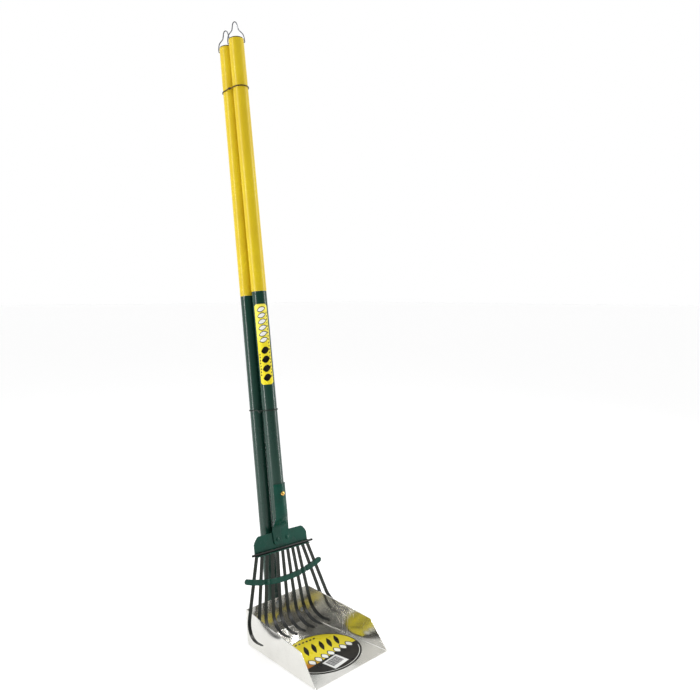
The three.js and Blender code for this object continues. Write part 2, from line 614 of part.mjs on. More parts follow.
// ---------------------------------------------------------------- brace
function braceStrip(y) {
  const n = 28;
  const at = (r, i) => {
    const a = -BRACE_HALF_ANGLE + (2 * BRACE_HALF_ANGLE * i) / n;
    return [r * Math.sin(a), -(FAN_APEX - r * Math.cos(a)) * -1];
  };
  const outer = Array.from({ length: n + 1 }, (_, i) => at(BRACE_R + BRACE_W / 2, i));
  const inner = Array.from({ length: n + 1 }, (_, i) => at(BRACE_R - BRACE_W / 2, n - i));
  const end = (a) => Array.from({ length: 5 }, (_, i) => {
    const t = Math.PI * ((i + 1) / 6);
    const r = BRACE_R + Math.cos(t) * (BRACE_W / 2);
    const da = (Math.sign(a) * Math.sin(t) * (BRACE_W / 2)) / BRACE_R;
    return [r * Math.sin(a + da), FAN_APEX - r * Math.cos(a + da)];
  });
  const outline = [...outer, ...end(BRACE_HALF_ANGLE), ...inner, ...end(-BRACE_HALF_ANGLE).reverse()];
  const g = plate(outline, BRACE_T);
  g.applyMatrix4(new THREE.Matrix4().makeBasis(V(1, 0, 0), V(0, 0, 1), V(0, -1, 0)));
  g.translate(0, y, 0);
  return cut(g, ...RIVETED.map((k) => headPin(bracePoint(k).x, bracePoint(k).z, 1.25)));
}
const near = TINE_T / 2 + GAP;
add('brace_front', braceStrip(-near), GREEN, headFrame);
add('brace_back', braceStrip(near + BRACE_T), GREEN, headFrame);
RIVETED.forEach((k, i) => {
  const at = bracePoint(k);
  const face = near + BRACE_T + GAP;
  const frame = headFrame.clone().multiply(new THREE.Matrix4()
    .makeBasis(V(1, 0, 0), V(0, 0, 1), V(0, -1, 0)).setPosition(V(at.x, -face, at.z)));
  add(`brace_rivet_${i ? 'right' : 'left'}`, rivet(2.3, 0.9, 0.95, 2 * face, 2.1, 0.7), GREEN, frame);
});

// ---------------------------------------------------------------- ties
/** A wire loop round both handles, square to the pan handle, with a short twisted tail. */
function tie(t, radius) {
  const origin = V(0, 0, t);
  const toRake = panFrame.clone().invert().multiply(rakeFrame);
  const a = V(0, 0, 0).applyMatrix4(toRake);
  const dir = V(0, 0, 1000).applyMatrix4(toRake).sub(a).normalize();
  const q = a.clone().addScaledVector(dir, (t - a.z) / dir.z).sub(origin);
  const heading = Math.atan2(q.y, q.x);
  const r = radius + GAP + TIE_R;
  const points = [];
  const u = V(Math.cos(heading), Math.sin(heading), 0);
  const left = V(u.y, -u.x, 0); // away from the handles on the pan's left side
  const mid = q.clone().multiplyScalar(0.5).addScaledVector(left, r);
  const twist = (s, phase) => {
    const turn = phase + s * 2 * Math.PI * 2;
    const off = TIE_R + 0.12;
    return mid.clone()
      .addScaledVector(u, 1.2 + 6.5 * s)
      .addScaledVector(left, 1.5 + 1.8 * s + off * Math.cos(turn))
      .add(V(0, 0, -2.2 * s + off * Math.sin(turn)));
  };
  for (let i = 0; i <= 16; i += 1) points.push(twist(1 - i / 16, Math.PI / 2));
  points.push(mid.clone().addScaledVector(u, -1.6).addScaledVector(left, 0.2).add(V(0, 0, 1.0)));
  const arc = (centre, from, to, n) => {
    for (let i = 0; i <= n; i += 1) {
      const w = from + ((to - from) * i) / n;
      points.push(centre.clone().addScaledVector(left, r * Math.cos(w)).addScaledVector(u, r * Math.sin(w)));
    }
  };
  points.push(mid.clone().addScaledVector(u, -4.5).add(V(0, 0, 0.4)));
  arc(V(0, 0, 0), 0, -Math.PI, 11);
  arc(q, Math.PI, 0, 11);
  points.push(mid.clone().addScaledVector(u, 5.0).add(V(0, 0, -0.3)));
  points.push(mid.clone().addScaledVector(u, 1.6).addScaledVector(left, 0.2).add(V(0, 0, -0.8)));
  for (let i = 0; i <= 16; i += 1) points.push(twist(i / 16, -Math.PI / 2));
  return wire(points, TIE_R, 6).translate(0, 0, t);
}
add('upper_tie', tie(TIE_UPPER, GRIP_R), TIE_BROWN, panFrame, 1.2);
add('lower_tie', tie(TIE_LOWER, LOWER_R), TIE_GREEN, panFrame, 1.2);

export default group;
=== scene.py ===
"""Looks of a long-handled pan and rake set: a folded sheet aluminium pan and an
eleven-tine rake, tied together upright, built round the fixed CAD model."""

import json
import logging
import math
from collections.abc import Sequence
from dataclasses import dataclass, field
from enum import Enum
from typing import Any

import bmesh
import bpy
from mathutils import Matrix, Vector


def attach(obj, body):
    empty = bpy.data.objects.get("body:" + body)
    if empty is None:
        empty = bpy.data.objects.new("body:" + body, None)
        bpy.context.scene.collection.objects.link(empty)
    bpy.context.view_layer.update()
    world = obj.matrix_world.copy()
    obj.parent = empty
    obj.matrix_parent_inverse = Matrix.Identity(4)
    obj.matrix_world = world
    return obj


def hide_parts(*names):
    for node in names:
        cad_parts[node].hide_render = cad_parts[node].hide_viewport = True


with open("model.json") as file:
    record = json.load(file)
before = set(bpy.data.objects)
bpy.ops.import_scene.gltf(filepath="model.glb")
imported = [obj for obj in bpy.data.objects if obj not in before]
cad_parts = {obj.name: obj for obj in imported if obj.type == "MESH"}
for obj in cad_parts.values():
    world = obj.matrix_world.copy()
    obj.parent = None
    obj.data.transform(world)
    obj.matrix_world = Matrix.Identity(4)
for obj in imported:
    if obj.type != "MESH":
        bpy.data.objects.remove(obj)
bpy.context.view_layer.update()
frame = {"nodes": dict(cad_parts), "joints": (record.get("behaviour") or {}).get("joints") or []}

LOG = logging.getLogger("rake_and_pan")
MM = 0.001
ROUND = 96  # faces round a turned piece
LABEL_MIDDLE = (0.0, -16.4)  # of the oval label on the pan's floor, in millimetres
LABEL_HALF = (60.5, 50.5)
QUARTER = math.pi / 2

Colour = tuple[int, int, int]
Point = tuple[float, float, float]
Pair = tuple[float, float]
Socket = bpy.types.NodeSocket
Material = bpy.types.Material
Thing = bpy.types.Object

FORWARD: Point = (QUARTER, 0.0, 0.0)
BACK: Point = (-QUARTER, 0.0, 0.0)


class Body(str, Enum):
    """The moving bodies of the set."""

    PAN = "pan_tool"
    RAKE = "rake_tool"
    PAN_HANGER = "pan_hanger_wire"
    RAKE_HANGER = "rake_hanger_wire"


class Slot(str, Enum):
    """The record's material slots."""

    SHEET = "sheet_aluminium"
    ZINC = "zinc_steel"
    BLACK_PLASTIC = "black_plastic"
    GREEN_VINYL = "green_vinyl"
    YELLOW_VINYL = "yellow_vinyl"
    PLUG = "plug_plastic"
    HANGER = "hanger_wire"
    FILM = "label_film"
    BROWN_TIE = "brown_tie"
    GREEN_TIE = "green_tie"
    GREEN_PAINT = "green_paint"
    BRASS = "brass_screw"
    BLACK_PAINT = "black_paint"
    TINE_PAINT = "tine_paint"


# --------------------------------------------------------------------- colours
def linear(colour: Colour) -> tuple[float, float, float, float]:
    """Turns an 8-bit screen colour into the linear colour, with alpha, that shaders use."""
    shares = [value / 255 for value in colour]
    light = [share / 12.92 if share <= 0.04045 else ((share + 0.055) / 1.055) ** 2.4 for share in shares]
    return (*light, 1.0)


def lifted(colour: Colour, step: int) -> Colour:
    """A colour made lighter by a step."""
    return tuple(min(255, value + step) for value in colour)


def dimmed(colour: Colour, share: float) -> Colour:
    """A colour held down to a share of itself."""
    return tuple(int(value * share) for value in colour)


# ------------------------------------------------------------------ node trees
class Graph:
    """Adds nodes and links to one node tree, of shader or geometry nodes."""

    def __init__(self, tree: bpy.types.NodeTree) -> None:
        """Keeps the tree that the nodes go into."""
        self.tree = tree

    def add(self, kind: str, values: dict[str | int, Any] | None = None,
            **settings: Any) -> bpy.types.Node:
        """Adds a node.

        Args:
            kind: The node's type name.
            values: What goes into each input socket: a socket to link, or a constant.
            settings: The node's own settings.

        Returns:
            The new node.
        """
        node = self.tree.nodes.new(kind)
        for name, value in settings.items():
            setattr(node, name, value)
        for key, value in (values or {}).items():
            self.feed(node.inputs[key], value)
        return node

    def feed(self, socket: Socket, value: Any) -> None:
        """Links a socket into an input, or sets the input's constant."""
        if isinstance(value, Socket):
            self.tree.links.new(value, socket)
        else:
            socket.default_value = value

    def math(self, operation: str, *values: Any, clamp: bool = False) -> Socket:
        """A Math node's result, held between 0 and 1 if clamped."""
        return self.add("ShaderNodeMath", dict(enumerate(values)), operation=operation,
                        use_clamp=clamp).outputs[0]

    def plus(self, first: Any, second: Any) -> Socket:
        """The sum of two values."""
        return self.math("ADD", first, second)

    def minus(self, first: Any, second: Any) -> Socket:
        """One value less another."""
        return self.math("SUBTRACT", first, second)

    def times(self, first: Any, second: Any) -> Socket:
        """The product of two values."""
        return self.math("MULTIPLY", first, second)

    def vector(self, operation: str, *values: Any, output: int = 0) -> Socket:
        """A Vector Math node's result, as its vector or, with output 1, its number."""
        node = self.add("ShaderNodeVectorMath", dict(enumerate(values)), operation=operation)
        return node.outputs[output]

    def split(self, vector: Any) -> Any:
        """A vector's X, Y and Z."""
        return self.add("ShaderNodeSeparateXYZ", {"Vector": vector}).outputs

    def span(self, value: Any, low: Any, high: Any, start: float = 0.0, end: float = 1.0,
             smooth: bool = False) -> Socket:
        """Maps a value from low..high to start..end, held at both ends and eased if smooth."""
        kind = "SMOOTHSTEP" if smooth else "LINEAR"
        values = {"Value": value, "From Min": low, "From Max": high, "To Min": start, "To Max": end}
        return self.add("ShaderNodeMapRange", values, interpolation_type=kind).outputs["Result"]

    def noise(self, vector: Any, scale: Any, detail: float = 2.0, rough: float = 0.5) -> Socket:
        """Fractal noise between 0 and 1 at a number of features per metre."""
        values = {"Vector": vector, "Scale": scale, "Detail": detail, "Roughness": rough}
        return self.add("ShaderNodeTexNoise", values).outputs["Fac"]

    def blend(self, share: Any, first: Any, second: Any) -> Socket:
        """Mixes two colours, each a socket or an 8-bit screen colour, by a share from 0 to 1."""
        node = self.add("ShaderNodeMix", data_type="RGBA")
        self.feed(node.inputs[0], share)
        for index, value in ((6, first), (7, second)):
            self.feed(node.inputs[index], linear(value) if isinstance(value, tuple) else value)
        return node.outputs[2]

    def stretched(self, vector: Any, scale: Point, turn: float = 0.0) -> Socket:
        """Coordinates scaled by axis and turned about Z, for streaks and grain."""
        values = {"Vector": vector, "Scale": scale, "Rotation": (0.0, 0.0, turn)}
        return self.add("ShaderNodeMapping", values).outputs["Vector"]


class Effect:
    """A shader node group with named sockets, built once and used in many finishes."""

    made: dict[str, bpy.types.NodeTree] = {}

    def __init__(self, name: str, inputs: dict[str, float | Point | None],
                 outputs: Sequence[str]) -> None:
        """Makes the group's sockets.

        Args:
            name: The group's name.
            inputs: Each input's default: a number, or a point or None for a vector.
            outputs: The names of the number outputs.
        """
        tree = bpy.data.node_groups.new(name, "ShaderNodeTree")
        for label, default in inputs.items():
            kind = "NodeSocketFloat" if isinstance(default, float) else "NodeSocketVector"
            socket = tree.interface.new_socket(label, in_out="INPUT", socket_type=kind)
            if default is not None:
                socket.default_value = default
        for label in outputs:
            tree.interface.new_socket(label, in_out="OUTPUT", socket_type="NodeSocketFloat")
        self.graph = Graph(tree)
        self.inputs = tree.nodes.new("NodeGroupInput").outputs
        self.outputs = tree.nodes.new("NodeGroupOutput").inputs
        Effect.made[name] = tree

    def give(self, **values: Socket) -> None:
        """Links each result to the output of the same name."""
        for label, socket in values.items():
            self.graph.tree.links.new(socket, self.outputs[label])


def make_edge_wear() -> None:
    """Marks convex edges, broken up by noise, where a coating rubs thin."""
    effect = Effect("edge wear", {"Vector": None, "Radius": 0.0006, "Patches": 260.0, "Amount": 0.6},
                    ["Mask"])
    graph, given = effect.graph, effect.inputs
    soft = graph.add("ShaderNodeBevel", {"Radius": given["Radius"]}, samples=6)
    true = graph.add("ShaderNodeNewGeometry")
    facing = graph.vector("DOT_PRODUCT", soft.outputs["Normal"], true.outputs["Normal"], output=1)
    edge = graph.span(facing, 0.985, 0.86)
    broken = graph.span(graph.noise(given["Vector"], given["Patches"], 4.0, 0.65), 0.42, 0.62)
    effect.give(Mask=graph.times(graph.times(edge, broken), given["Amount"]))


def make_grain() -> None:
    """Fine directional grain, as a height and as a value for roughness."""
    effect = Effect("grain", {"Vector": None, "Stretch": (1.0, 1.0, 1.0), "Scale": 900.0, "Depth": 1.0},
                    ["Height", "Value"])
    graph, given = effect.graph, effect.inputs
    drawn = graph.vector("MULTIPLY", given["Vector"], given["Stretch"])
    value = graph.noise(drawn, given["Scale"], 3.0, 0.6)
    effect.give(Height=graph.times(value, given["Depth"]), Value=value)


def make_handling() -> None:
    """Smudges and dust: soft patches, and a film that settles on what faces up."""
    effect = Effect("handling", {"Vector": None, "Size": 22.0, "Dust": 0.3}, ["Smudge", "Dust"])
    graph, given = effect.graph, effect.inputs
    patches = graph.noise(given["Vector"], given["Size"], 5.0, 0.6)
    up = graph.split(graph.add("ShaderNodeNewGeometry").outputs["Normal"])["Z"]
    specks = graph.noise(given["Vector"], 480.0, 6.0, 0.7)
    settled = graph.times(graph.span(up, 0.1, 1.0), graph.span(specks, 0.35, 0.75))
    effect.give(Smudge=graph.span(patches, 0.35, 0.7, smooth=True),
                Dust=graph.times(settled, given["Dust"]))


def make_oval() -> None:
    """Distance from an oval's middle, as a share of the way to its rim."""
    effect = Effect("oval", {"Vector": None, "Middle": (0.0, 0.0, 0.0), "Half Size": (1.0, 1.0, 1.0)},
                    ["Share"])
    graph, given = effect.graph, effect.inputs
    offset = graph.vector("SUBTRACT", given["Vector"], given["Middle"])
    share = graph.vector("DIVIDE", offset, given["Half Size"])
    flat = graph.vector("MULTIPLY", share, (1.0, 1.0, 0.0))
    effect.give(Share=graph.vector("LENGTH", flat, output=1))


def make_leaf_row() -> None:
    """A printed row of leaning leaf shapes along X, between two ends."""
    effect = Effect("leaf row", {"Vector": None, "Pitch": 0.01, "Half Height": 0.01, "Half Width": 0.004,
                                 "Lean": 0.3, "Start": -0.03, "End": 0.03}, ["Mask"])
    graph, given = effect.graph, effect.inputs
    parts = graph.split(given["Vector"])
    along = graph.minus(parts["X"], graph.times(parts["Y"], given["Lean"]))
    steps = graph.math("DIVIDE", graph.minus(along, given["Start"]), given["Pitch"])
    off = graph.math("ABSOLUTE", graph.minus(graph.math("FRACT", steps), 0.5))
    height = graph.math("DIVIDE", parts["Y"], given["Half Height"])
    lens = graph.minus(1.0, graph.times(height, height))
    room = graph.minus(graph.times(lens, given["Half Width"]), graph.times(off, given["Pitch"]))
    inside = graph.span(room, -0.1 * MM, 0.1 * MM)
    after = graph.math("GREATER_THAN", along, given["Start"])
    before = graph.math("LESS_THAN", along, given["End"])
    effect.give(Mask=graph.times(inside, graph.times(after, before)))


# -------------------------------------------------------------------- finishes
class Paintwork:
    """A material under construction: its graph, coordinates and shader."""

    def __init__(self, name: str, coordinates: str = "Object") -> None:
        """Starts an empty material whose patterns read Object or UV coordinates."""
        self.material = bpy.data.materials.new(name)
        self.material.use_nodes = True
        tree = self.material.node_tree
        tree.nodes.clear()
        self.graph = Graph(tree)
        self.place = self.graph.add("ShaderNodeTexCoord").outputs[coordinates]
        self.shader = self.graph.add("ShaderNodeBsdfPrincipled")
        self.graph.add("ShaderNodeOutputMaterial", {"Surface": self.shader.outputs["BSDF"]})

    def effect(self, name: str, **values: Any) -> Any:
        """Places a shared effect, its inputs named with _ for a space, and gives its outputs."""
        node = self.graph.add("ShaderNodeGroup", node_tree=Effect.made[name])
        values.setdefault("Vector", self.place)
        for label, value in values.items():
            self.graph.feed(node.inputs[label.replace("_", " ")], value)
        return node.outputs

    def set(self, **values: Any) -> None:
        """Sets or links the shader's inputs, with _ for a space in their names."""
        for label, value in values.items():
            self.graph.feed(self.shader.inputs[label.replace("_", " ")], value)

    def relief(self, *layers: tuple[Any, float, float]) -> None:
        """Stacks bumps into the normal, each a height, a strength and a depth in metres."""
        normal = None
        for height, strength, depth in layers:
            values = {"Height": height, "Strength": strength, "Distance": depth}
            if normal is not None:
                values["Normal"] = normal
            normal = self.graph.add("ShaderNodeBump", values).outputs["Normal"]
        self.set(Normal=normal)


@dataclass(frozen=True)
class MillSheet:
    """Bright rolled aluminium: nearly a mirror, drawn along the sheet, with waves and smudges."""

    name: str = "bright_aluminium_sheet"
    colour: Colour = (228, 227, 222)
    scuffed: Colour = (203, 201, 196)
    worn: Colour = (246, 246, 244)

    def build(self) -> Material:
        """Makes the material."""
        work = Paintwork(self.name)
        graph = work.graph
        grain = work.effect("grain", Stretch=(1.0, 0.03, 1.0), Scale=1500.0)
        scratches = work.effect("grain", Stretch=(0.05, 1.0, 0.05), Scale=420.0)
        handling = work.effect("handling", Size=26.0, Dust=0.05)
        wear = work.effect("edge wear", Radius=0.0007, Amount=0.8)
        waves = graph.noise(work.place, 26.0, 1.0, 0.4)
        tone = graph.blend(graph.times(handling["Smudge"], 0.3), self.colour, self.scuffed)
        streaked = graph.span(grain["Value"], 0.3, 0.7, 0.13, 0.19)
        smeared = graph.plus(streaked, graph.times(handling["Smudge"], 0.06))
        scored = graph.times(graph.span(scratches["Value"], 0.6, 0.72), 0.1)
        work.set(Base_Color=graph.blend(wear["Mask"], tone, self.worn), Metallic=1.0,
                 Specular_IOR_Level=0.6,
                 Roughness=graph.plus(graph.plus(smeared, scored), graph.times(handling["Dust"], 0.5)))
        work.relief((waves, 0.5, 0.0014), (grain["Height"], 0.08, 0.00002))
        return work.material


@dataclass(frozen=True)
class Vinyl:
    """Shrunk vinyl over a tube: glossy, with slight orange peel, draw lines and a little dust."""

    name: str
    colour: Colour
    deep: Colour
    roughness: float = 0.3
    gloss: float = 0.3

    def build(self) -> Material:
        """Makes the material."""
        work = Paintwork(self.name)
        graph = work.graph
        handling = work.effect("handling", Size=16.0, Dust=0.12)
        drawn = work.effect("grain", Stretch=(1.0, 1.0, 0.02), Scale=700.0)
        peel = graph.noise(work.place, 900.0, 2.0, 0.5)
        rubbed = graph.noise(graph.stretched(work.place, (1.0, 1.0, 0.25)), 120.0, 6.0, 0.7)
        scuffs = graph.span(rubbed, 0.66, 0.8)
        tone = graph.blend(graph.times(handling["Smudge"], 0.45), self.colour, self.deep)
        base = graph.span(handling["Smudge"], 0.0, 1.0, self.roughness - 0.04, self.roughness + 0.06)
        work.set(Base_Color=graph.blend(graph.times(scuffs, 0.35), tone, lifted(self.colour, 45)),
                 Roughness=graph.plus(base, graph.times(scuffs, 0.2)), Specular_IOR_Level=self.gloss)
        work.relief((peel, 0.2, 0.00005), (drawn["Height"], 0.12, 0.00004))
        return work.material


@dataclass(frozen=True)
class Enamel:
    """Sprayed enamel on steel: orange peel, gloss, dust, and edges rubbed towards bare metal.

    Below the painted-shade height, in metres, the finish turns black: painted shade on the curved lower ends
    of the tines.
    """

    name: str
    colour: Colour
    bare: Colour = (128, 134, 128)
    roughness: float = 0.28
    wear: float = 0.45
    gloss: float = 0.22
    # Height in metres below which painted shade darkens the finish, 0 for none.
    painted_shade_height: float = 0.0
    dust: Colour = (150, 158, 148)
    # The black of the painted shade.
    painted_shade_colour: Colour = (6, 7, 6)

    def build(self) -> Material:
        """Makes the material."""
        work = Paintwork(self.name)
        graph = work.graph
        wear = work.effect("edge wear", Radius=0.00045, Patches=420.0, Amount=self.wear)
        handling = work.effect("handling", Size=40.0, Dust=0.2)
        peel = graph.noise(work.place, 1100.0, 2.0, 0.55)
        tone = graph.blend(graph.times(handling["Smudge"], 0.6), self.colour, dimmed(self.colour, 0.74))
        coated = graph.blend(handling["Dust"], tone, self.dust)
        # Painted shade: below the given height the colour fades to black, standing in for the shade on the
        # tines' curved lower ends.
        if self.painted_shade_height:
            up = graph.split(work.place)["Z"]
            black = graph.span(up, self.painted_shade_height, self.painted_shade_height - 0.03, 0.0, 0.85, smooth=True)
            coated = graph.blend(black, coated, self.painted_shade_colour)
        base = graph.span(handling["Smudge"], 0.0, 1.0, self.roughness, self.roughness + 0.1)
        work.set(Base_Color=graph.blend(wear["Mask"], coated, self.bare),
                 Metallic=graph.times(wear["Mask"], 0.9),
                 Roughness=graph.plus(base, graph.times(handling["Dust"], 0.3)),
                 Specular_IOR_Level=self.gloss)
        work.relief((peel, 0.3, 0.00006), (graph.minus(1.0, wear["Mask"]), 0.3, 0.00003))
        return work.material


@dataclass(frozen=True)
class PlatedMetal:
    """Plated or drawn metal: metallic, with fine grain, tarnish patches and brighter edges."""

    name: str
    colour: Colour
    tarnish: Colour
    roughness: float = 0.3
    stretch: Point = (1.0, 1.0, 1.0)

    def build(self) -> Material:
        """Makes the material."""
        work = Paintwork(self.name)
        graph = work.graph
        grain = work.effect("grain", Stretch=self.stretch, Scale=1600.0)
        handling = work.effect("handling", Size=140.0, Dust=0.1)
        wear = work.effect("edge wear", Radius=0.0004, Amount=0.5)
        tone = graph.blend(handling["Smudge"], self.colour, self.tarnish)
        base = graph.span(grain["Value"], 0.3, 0.7, self.roughness - 0.06, self.roughness + 0.08)
        work.set(Base_Color=graph.blend(wear["Mask"], tone, lifted(self.colour, 20)), Metallic=1.0,
                 Roughness=graph.plus(base, graph.times(handling["Smudge"], 0.12)))
        work.relief((grain["Height"], 0.3, 0.00003))
        return work.material


@dataclass(frozen=True)
class Moulded:
    """Moulded plastic or coated wire: even colour, fine spark texture, slight wear."""

    name: str
    colour: Colour
    roughness: float = 0.5
    dust: float = 0.35

    def build(self) -> Material:
        """Makes the material."""
        work = Paintwork(self.name)
        graph = work.graph
        handling = work.effect("handling", Size=90.0, Dust=self.dust)
        wear = work.effect("edge wear", Radius=0.0005, Amount=0.35)
        spark = graph.noise(work.place, 2600.0, 2.0, 0.6)
        lighter = lifted(self.colour, 34)
        tone = graph.blend(graph.times(handling["Smudge"], 0.4), self.colour, lighter)
        faded = graph.math("ADD", wear["Mask"], handling["Dust"], clamp=True)
        work.set(Base_Color=graph.blend(faded, tone, lighter), Specular_IOR_Level=0.3,
                 Roughness=graph.span(handling["Smudge"], 0.0, 1.0, self.roughness, self.roughness + 0.12))
        work.relief((spark, 0.35, 0.00005))
        return work.material


@dataclass(frozen=True)
class LeafRow:
    """A printed row of leaves. Sizes in millimetres, from the row's own middle."""

    at: Pair
    pitch: float
    half_height: float
    half_width: float
    reach: Pair
    colour: Colour
    lean: float
    turn: float = 0.0


@dataclass(frozen=True)
class Print:
    """The inks of the two labels, and the film that they're printed on."""

    yellow: Colour = (236, 218, 44)
    amber: Colour = (176, 104, 22)
    black: Colour = (9, 7, 7)
    white: Colour = (240, 240, 234)
    faded: Colour = (206, 200, 176)
    dust: Colour = (190, 188, 176)

    def rows(self, work: Paintwork, place: Socket, ink: Socket, rows: Sequence[LeafRow]) -> Socket:
        """Prints rows of leaves over an ink, one after another."""
        for row in rows:
            values = {"Vector": place, "Location": (row.at[0] * MM, row.at[1] * MM, 0.0),
                      "Rotation": (0.0, 0.0, row.turn)}
            moved = work.graph.add("ShaderNodeMapping", values, vector_type="TEXTURE").outputs["Vector"]
            mask = work.effect("leaf row", Vector=moved, Pitch=row.pitch * MM,
                               Half_Height=row.half_height * MM, Half_Width=row.half_width * MM,
                               Lean=row.lean, Start=row.reach[0] * MM, End=row.reach[1] * MM)["Mask"]
            ink = work.graph.blend(mask, ink, row.colour)
        return ink

    def film(self, work: Paintwork, ink: Socket) -> Material:
        """Finishes a label's film over its printed colour: gloss, faint creases and smudges."""
        graph = work.graph
        handling = work.effect("handling", Size=60.0, Dust=0.12)
        creases = graph.noise(graph.stretched(work.place, (1.0, 0.35, 1.0), 0.6), 90.0, 3.0, 0.5)
        aged = graph.blend(graph.times(handling["Smudge"], 0.03), ink, self.faded)
        work.set(Base_Color=graph.blend(graph.times(handling["Dust"], 0.15), aged, self.dust),
                 Roughness=graph.span(handling["Smudge"], 0.0, 1.0, 0.26, 0.4), Specular_IOR_Level=0.14)
        work.relief((creases, 0.15, 0.0003), (graph.noise(work.place, 1500.0), 0.1, 0.00003))
        return work.material


@dataclass(frozen=True)
class OvalPrint(Print):
    """The pan's oval label: yellow over black, with a ring, leaves, studs and a fine arc."""

    name: str = "oval_label_print"
    horizon: float = -29.0 * MM

    def build(self) -> Material:
        """Makes the material."""
        work = Paintwork(self.name)
        graph = work.graph
        place = graph.split(work.place)
        share = work.effect("oval", Middle=(LABEL_MIDDLE[0] * MM, LABEL_MIDDLE[1] * MM, 0.0),
                            Half_Size=(LABEL_HALF[0] * MM, LABEL_HALF[1] * MM, 1.0))["Share"]
        swell = graph.times(graph.math("SINE", graph.times(place["X"], 48.0)), 2.2 * MM)
        edge = graph.plus(graph.times(place["X"], 0.05), swell)
        above = graph.minus(graph.minus(place["Y"], self.horizon), edge)
        corner = work.effect("oval", Middle=(-44 * MM, -34 * MM, 0.0),
                             Half_Size=(44 * MM, 25 * MM, 1.0))["Share"]
        field_ink = graph.blend(graph.span(corner, 1.0, 0.2, smooth=True), self.yellow, self.amber)
        ink = graph.blend(graph.span(above, -0.1 * MM, 0.1 * MM), self.black, field_ink)
        studs, ends = (8.0, -25.0), (-42.7, 42.7)
        ink = self.rows(work, work.place, ink, (
            LeafRow((13.0, 0.0), 13.5, 13.0, 3.6, (-34.0, 33.5), self.black, 0.35, -0.12),
            LeafRow((1.5, 24.0), 6.5, 2.1, 2.3, (-19.5, 19.5), self.black, 0.5, -0.1),
            LeafRow(studs, 12.2, 8.2, 5.6, ends, self.black, 0.0, 0.02),
            LeafRow(studs, 12.2, 6.4, 4.2, ends, self.white, 0.0, 0.02)))
        ink = graph.blend(graph.span(share, 0.965, 0.972), ink, self.black)
        arc = graph.times(graph.span(share, 0.934, 0.938), graph.span(share, 0.952, 0.948))
        low = graph.span(place["Y"], -34 * MM, -37 * MM)
        return self.film(work, graph.blend(graph.times(arc, low), ink, self.white))


@dataclass(frozen=True)
class WrapPrint(Print):
    """The handle's wrapped label: yellow, with rows of leaves along the handle."""

    name: str = "handle_label_print"
    pale: Colour = (244, 230, 90)

    def build(self) -> Material:
        """Makes the material. The UV map is in metres: U round the handle, V up it."""
        work = Paintwork(self.name, "UV")
        graph = work.graph
        parts = graph.split(work.place)
        along = graph.add("ShaderNodeCombineXYZ", {"X": parts["Y"], "Y": parts["X"]}).outputs["Vector"]
        ink = graph.blend(graph.span(parts["Y"], 74 * MM, 60 * MM, smooth=True), self.pale, self.yellow)
        rows = ((31.0, 1.2, 13.6, 6.4, 5.3, 27.2, self.black), (30.0, -7.8, 4.4, 1.2, 1.5, 17.6, self.black),
                (60.0, 8.2, 5.0, 0.9, 1.8, 50.0, self.black), (90.0, 0.4, 9.2, 6.9, 4.1, 27.6, self.black),
                (90.0, 0.4, 9.2, 5.6, 2.9, 27.6, self.white))
        return self.film(work, self.rows(work, along, ink, [
            LeafRow((up, across), pitch, high, wide, (-reach, reach), colour, 0.25)
            for up, across, pitch, high, wide, reach, colour in rows]))


@dataclass(frozen=True)
class FlatPrint(Print):
    """One plain ink on film, for the sticker and its bars."""

    name: str = "sticker_white"
    ink: Colour = (238, 238, 236)

    def build(self) -> Material:
        """Makes the material."""
        work = Paintwork(self.name)
        mottled = work.graph.span(work.graph.noise(work.place, 700.0), 0.4, 0.7)
        return self.film(work, work.graph.blend(mottled, self.ink, dimmed(self.ink, 0.9)))


class Finishes:
    """Every finish of the set, built once."""

    def __init__(self) -> None:
        """Builds the shared effects and then the materials."""
        for make in (make_edge_wear, make_grain, make_handling, make_oval, make_leaf_row):
            make()
        self.sheet = MillSheet().build()
        self.yellow = Vinyl("yellow_vinyl_grip", (213, 188, 34), (198, 164, 26)).build()
        self.green = Vinyl("green_vinyl_tube", (18, 57, 46), (12, 45, 37), 0.24, 0.45).build()
        self.enamel = Enamel("green_enamel", (14, 72, 59), roughness=0.22, gloss=0.18).build()
        # The tines darken with painted shade below 62 mm up.
        self.tine = Enamel("tine_enamel", (24, 33, 25), (140, 142, 136), wear=0.6, gloss=0.26,
                           painted_shade_height=0.062).build()
        self.rod = Enamel("black_enamel", (9, 10, 10), (90, 92, 90), 0.3, 0.2).build()
        self.zinc = PlatedMetal("zinc_plate", (196, 198, 200), (150, 154, 158), 0.32).build()
        self.wire = PlatedMetal("hanger_wire_steel", (142, 144, 148), (92, 95, 100), 0.3,
                                (1.0, 1.0, 0.05)).build()
        self.brass = PlatedMetal("brass_plate", (232, 190, 104), (180, 132, 66), 0.22).build()
        self.plug = Moulded("end_plug_plastic", (36, 29, 12), dust=0.1).build()
        self.saddle = Moulded("black_saddle_plastic", (27, 28, 28)).build()
        self.brown_tie = Moulded("brown_tie_coating", (44, 18, 3), 0.4, 0.05).build()
        self.green_tie = Moulded("green_tie_coating", (14, 30, 22), 0.4, 0.05).build()
        self.oval = OvalPrint().build()
        self.wrap = WrapPrint().build()
        self.sticker = FlatPrint().build()
        self.bars = FlatPrint(name="sticker_bars", ink=(44, 42, 46)).build()


# ---------------------------------------------------------------------- shapes
def object_from(name: str, points: Sequence[Vector], faces: Sequence[Sequence[int]],
                edges: Sequence[Pair] = ()) -> Thing:
    """A linked object with a new mesh of these points and faces, or of a chain of edges."""
    mesh = bpy.data.meshes.new(name)
    mesh.from_pydata([tuple(point) for point in points], list(edges), [tuple(face) for face in faces])
    made = bpy.data.objects.new(name, mesh)
    bpy.context.scene.collection.objects.link(made)
    return made


def strips(rows: int, columns: int, closed: bool = False) -> list[tuple[int, ...]]:
    """Quads between rows of points, each row a stretch or, if closed, a ring."""
    faces = []
    for row in range(rows - 1):
        for column in range(columns if closed else columns - 1):
            beside = (column + 1) % columns
            low, high = row * columns, (row + 1) * columns
            faces.append((low + column, low + beside, high + beside, high + column))
    return faces


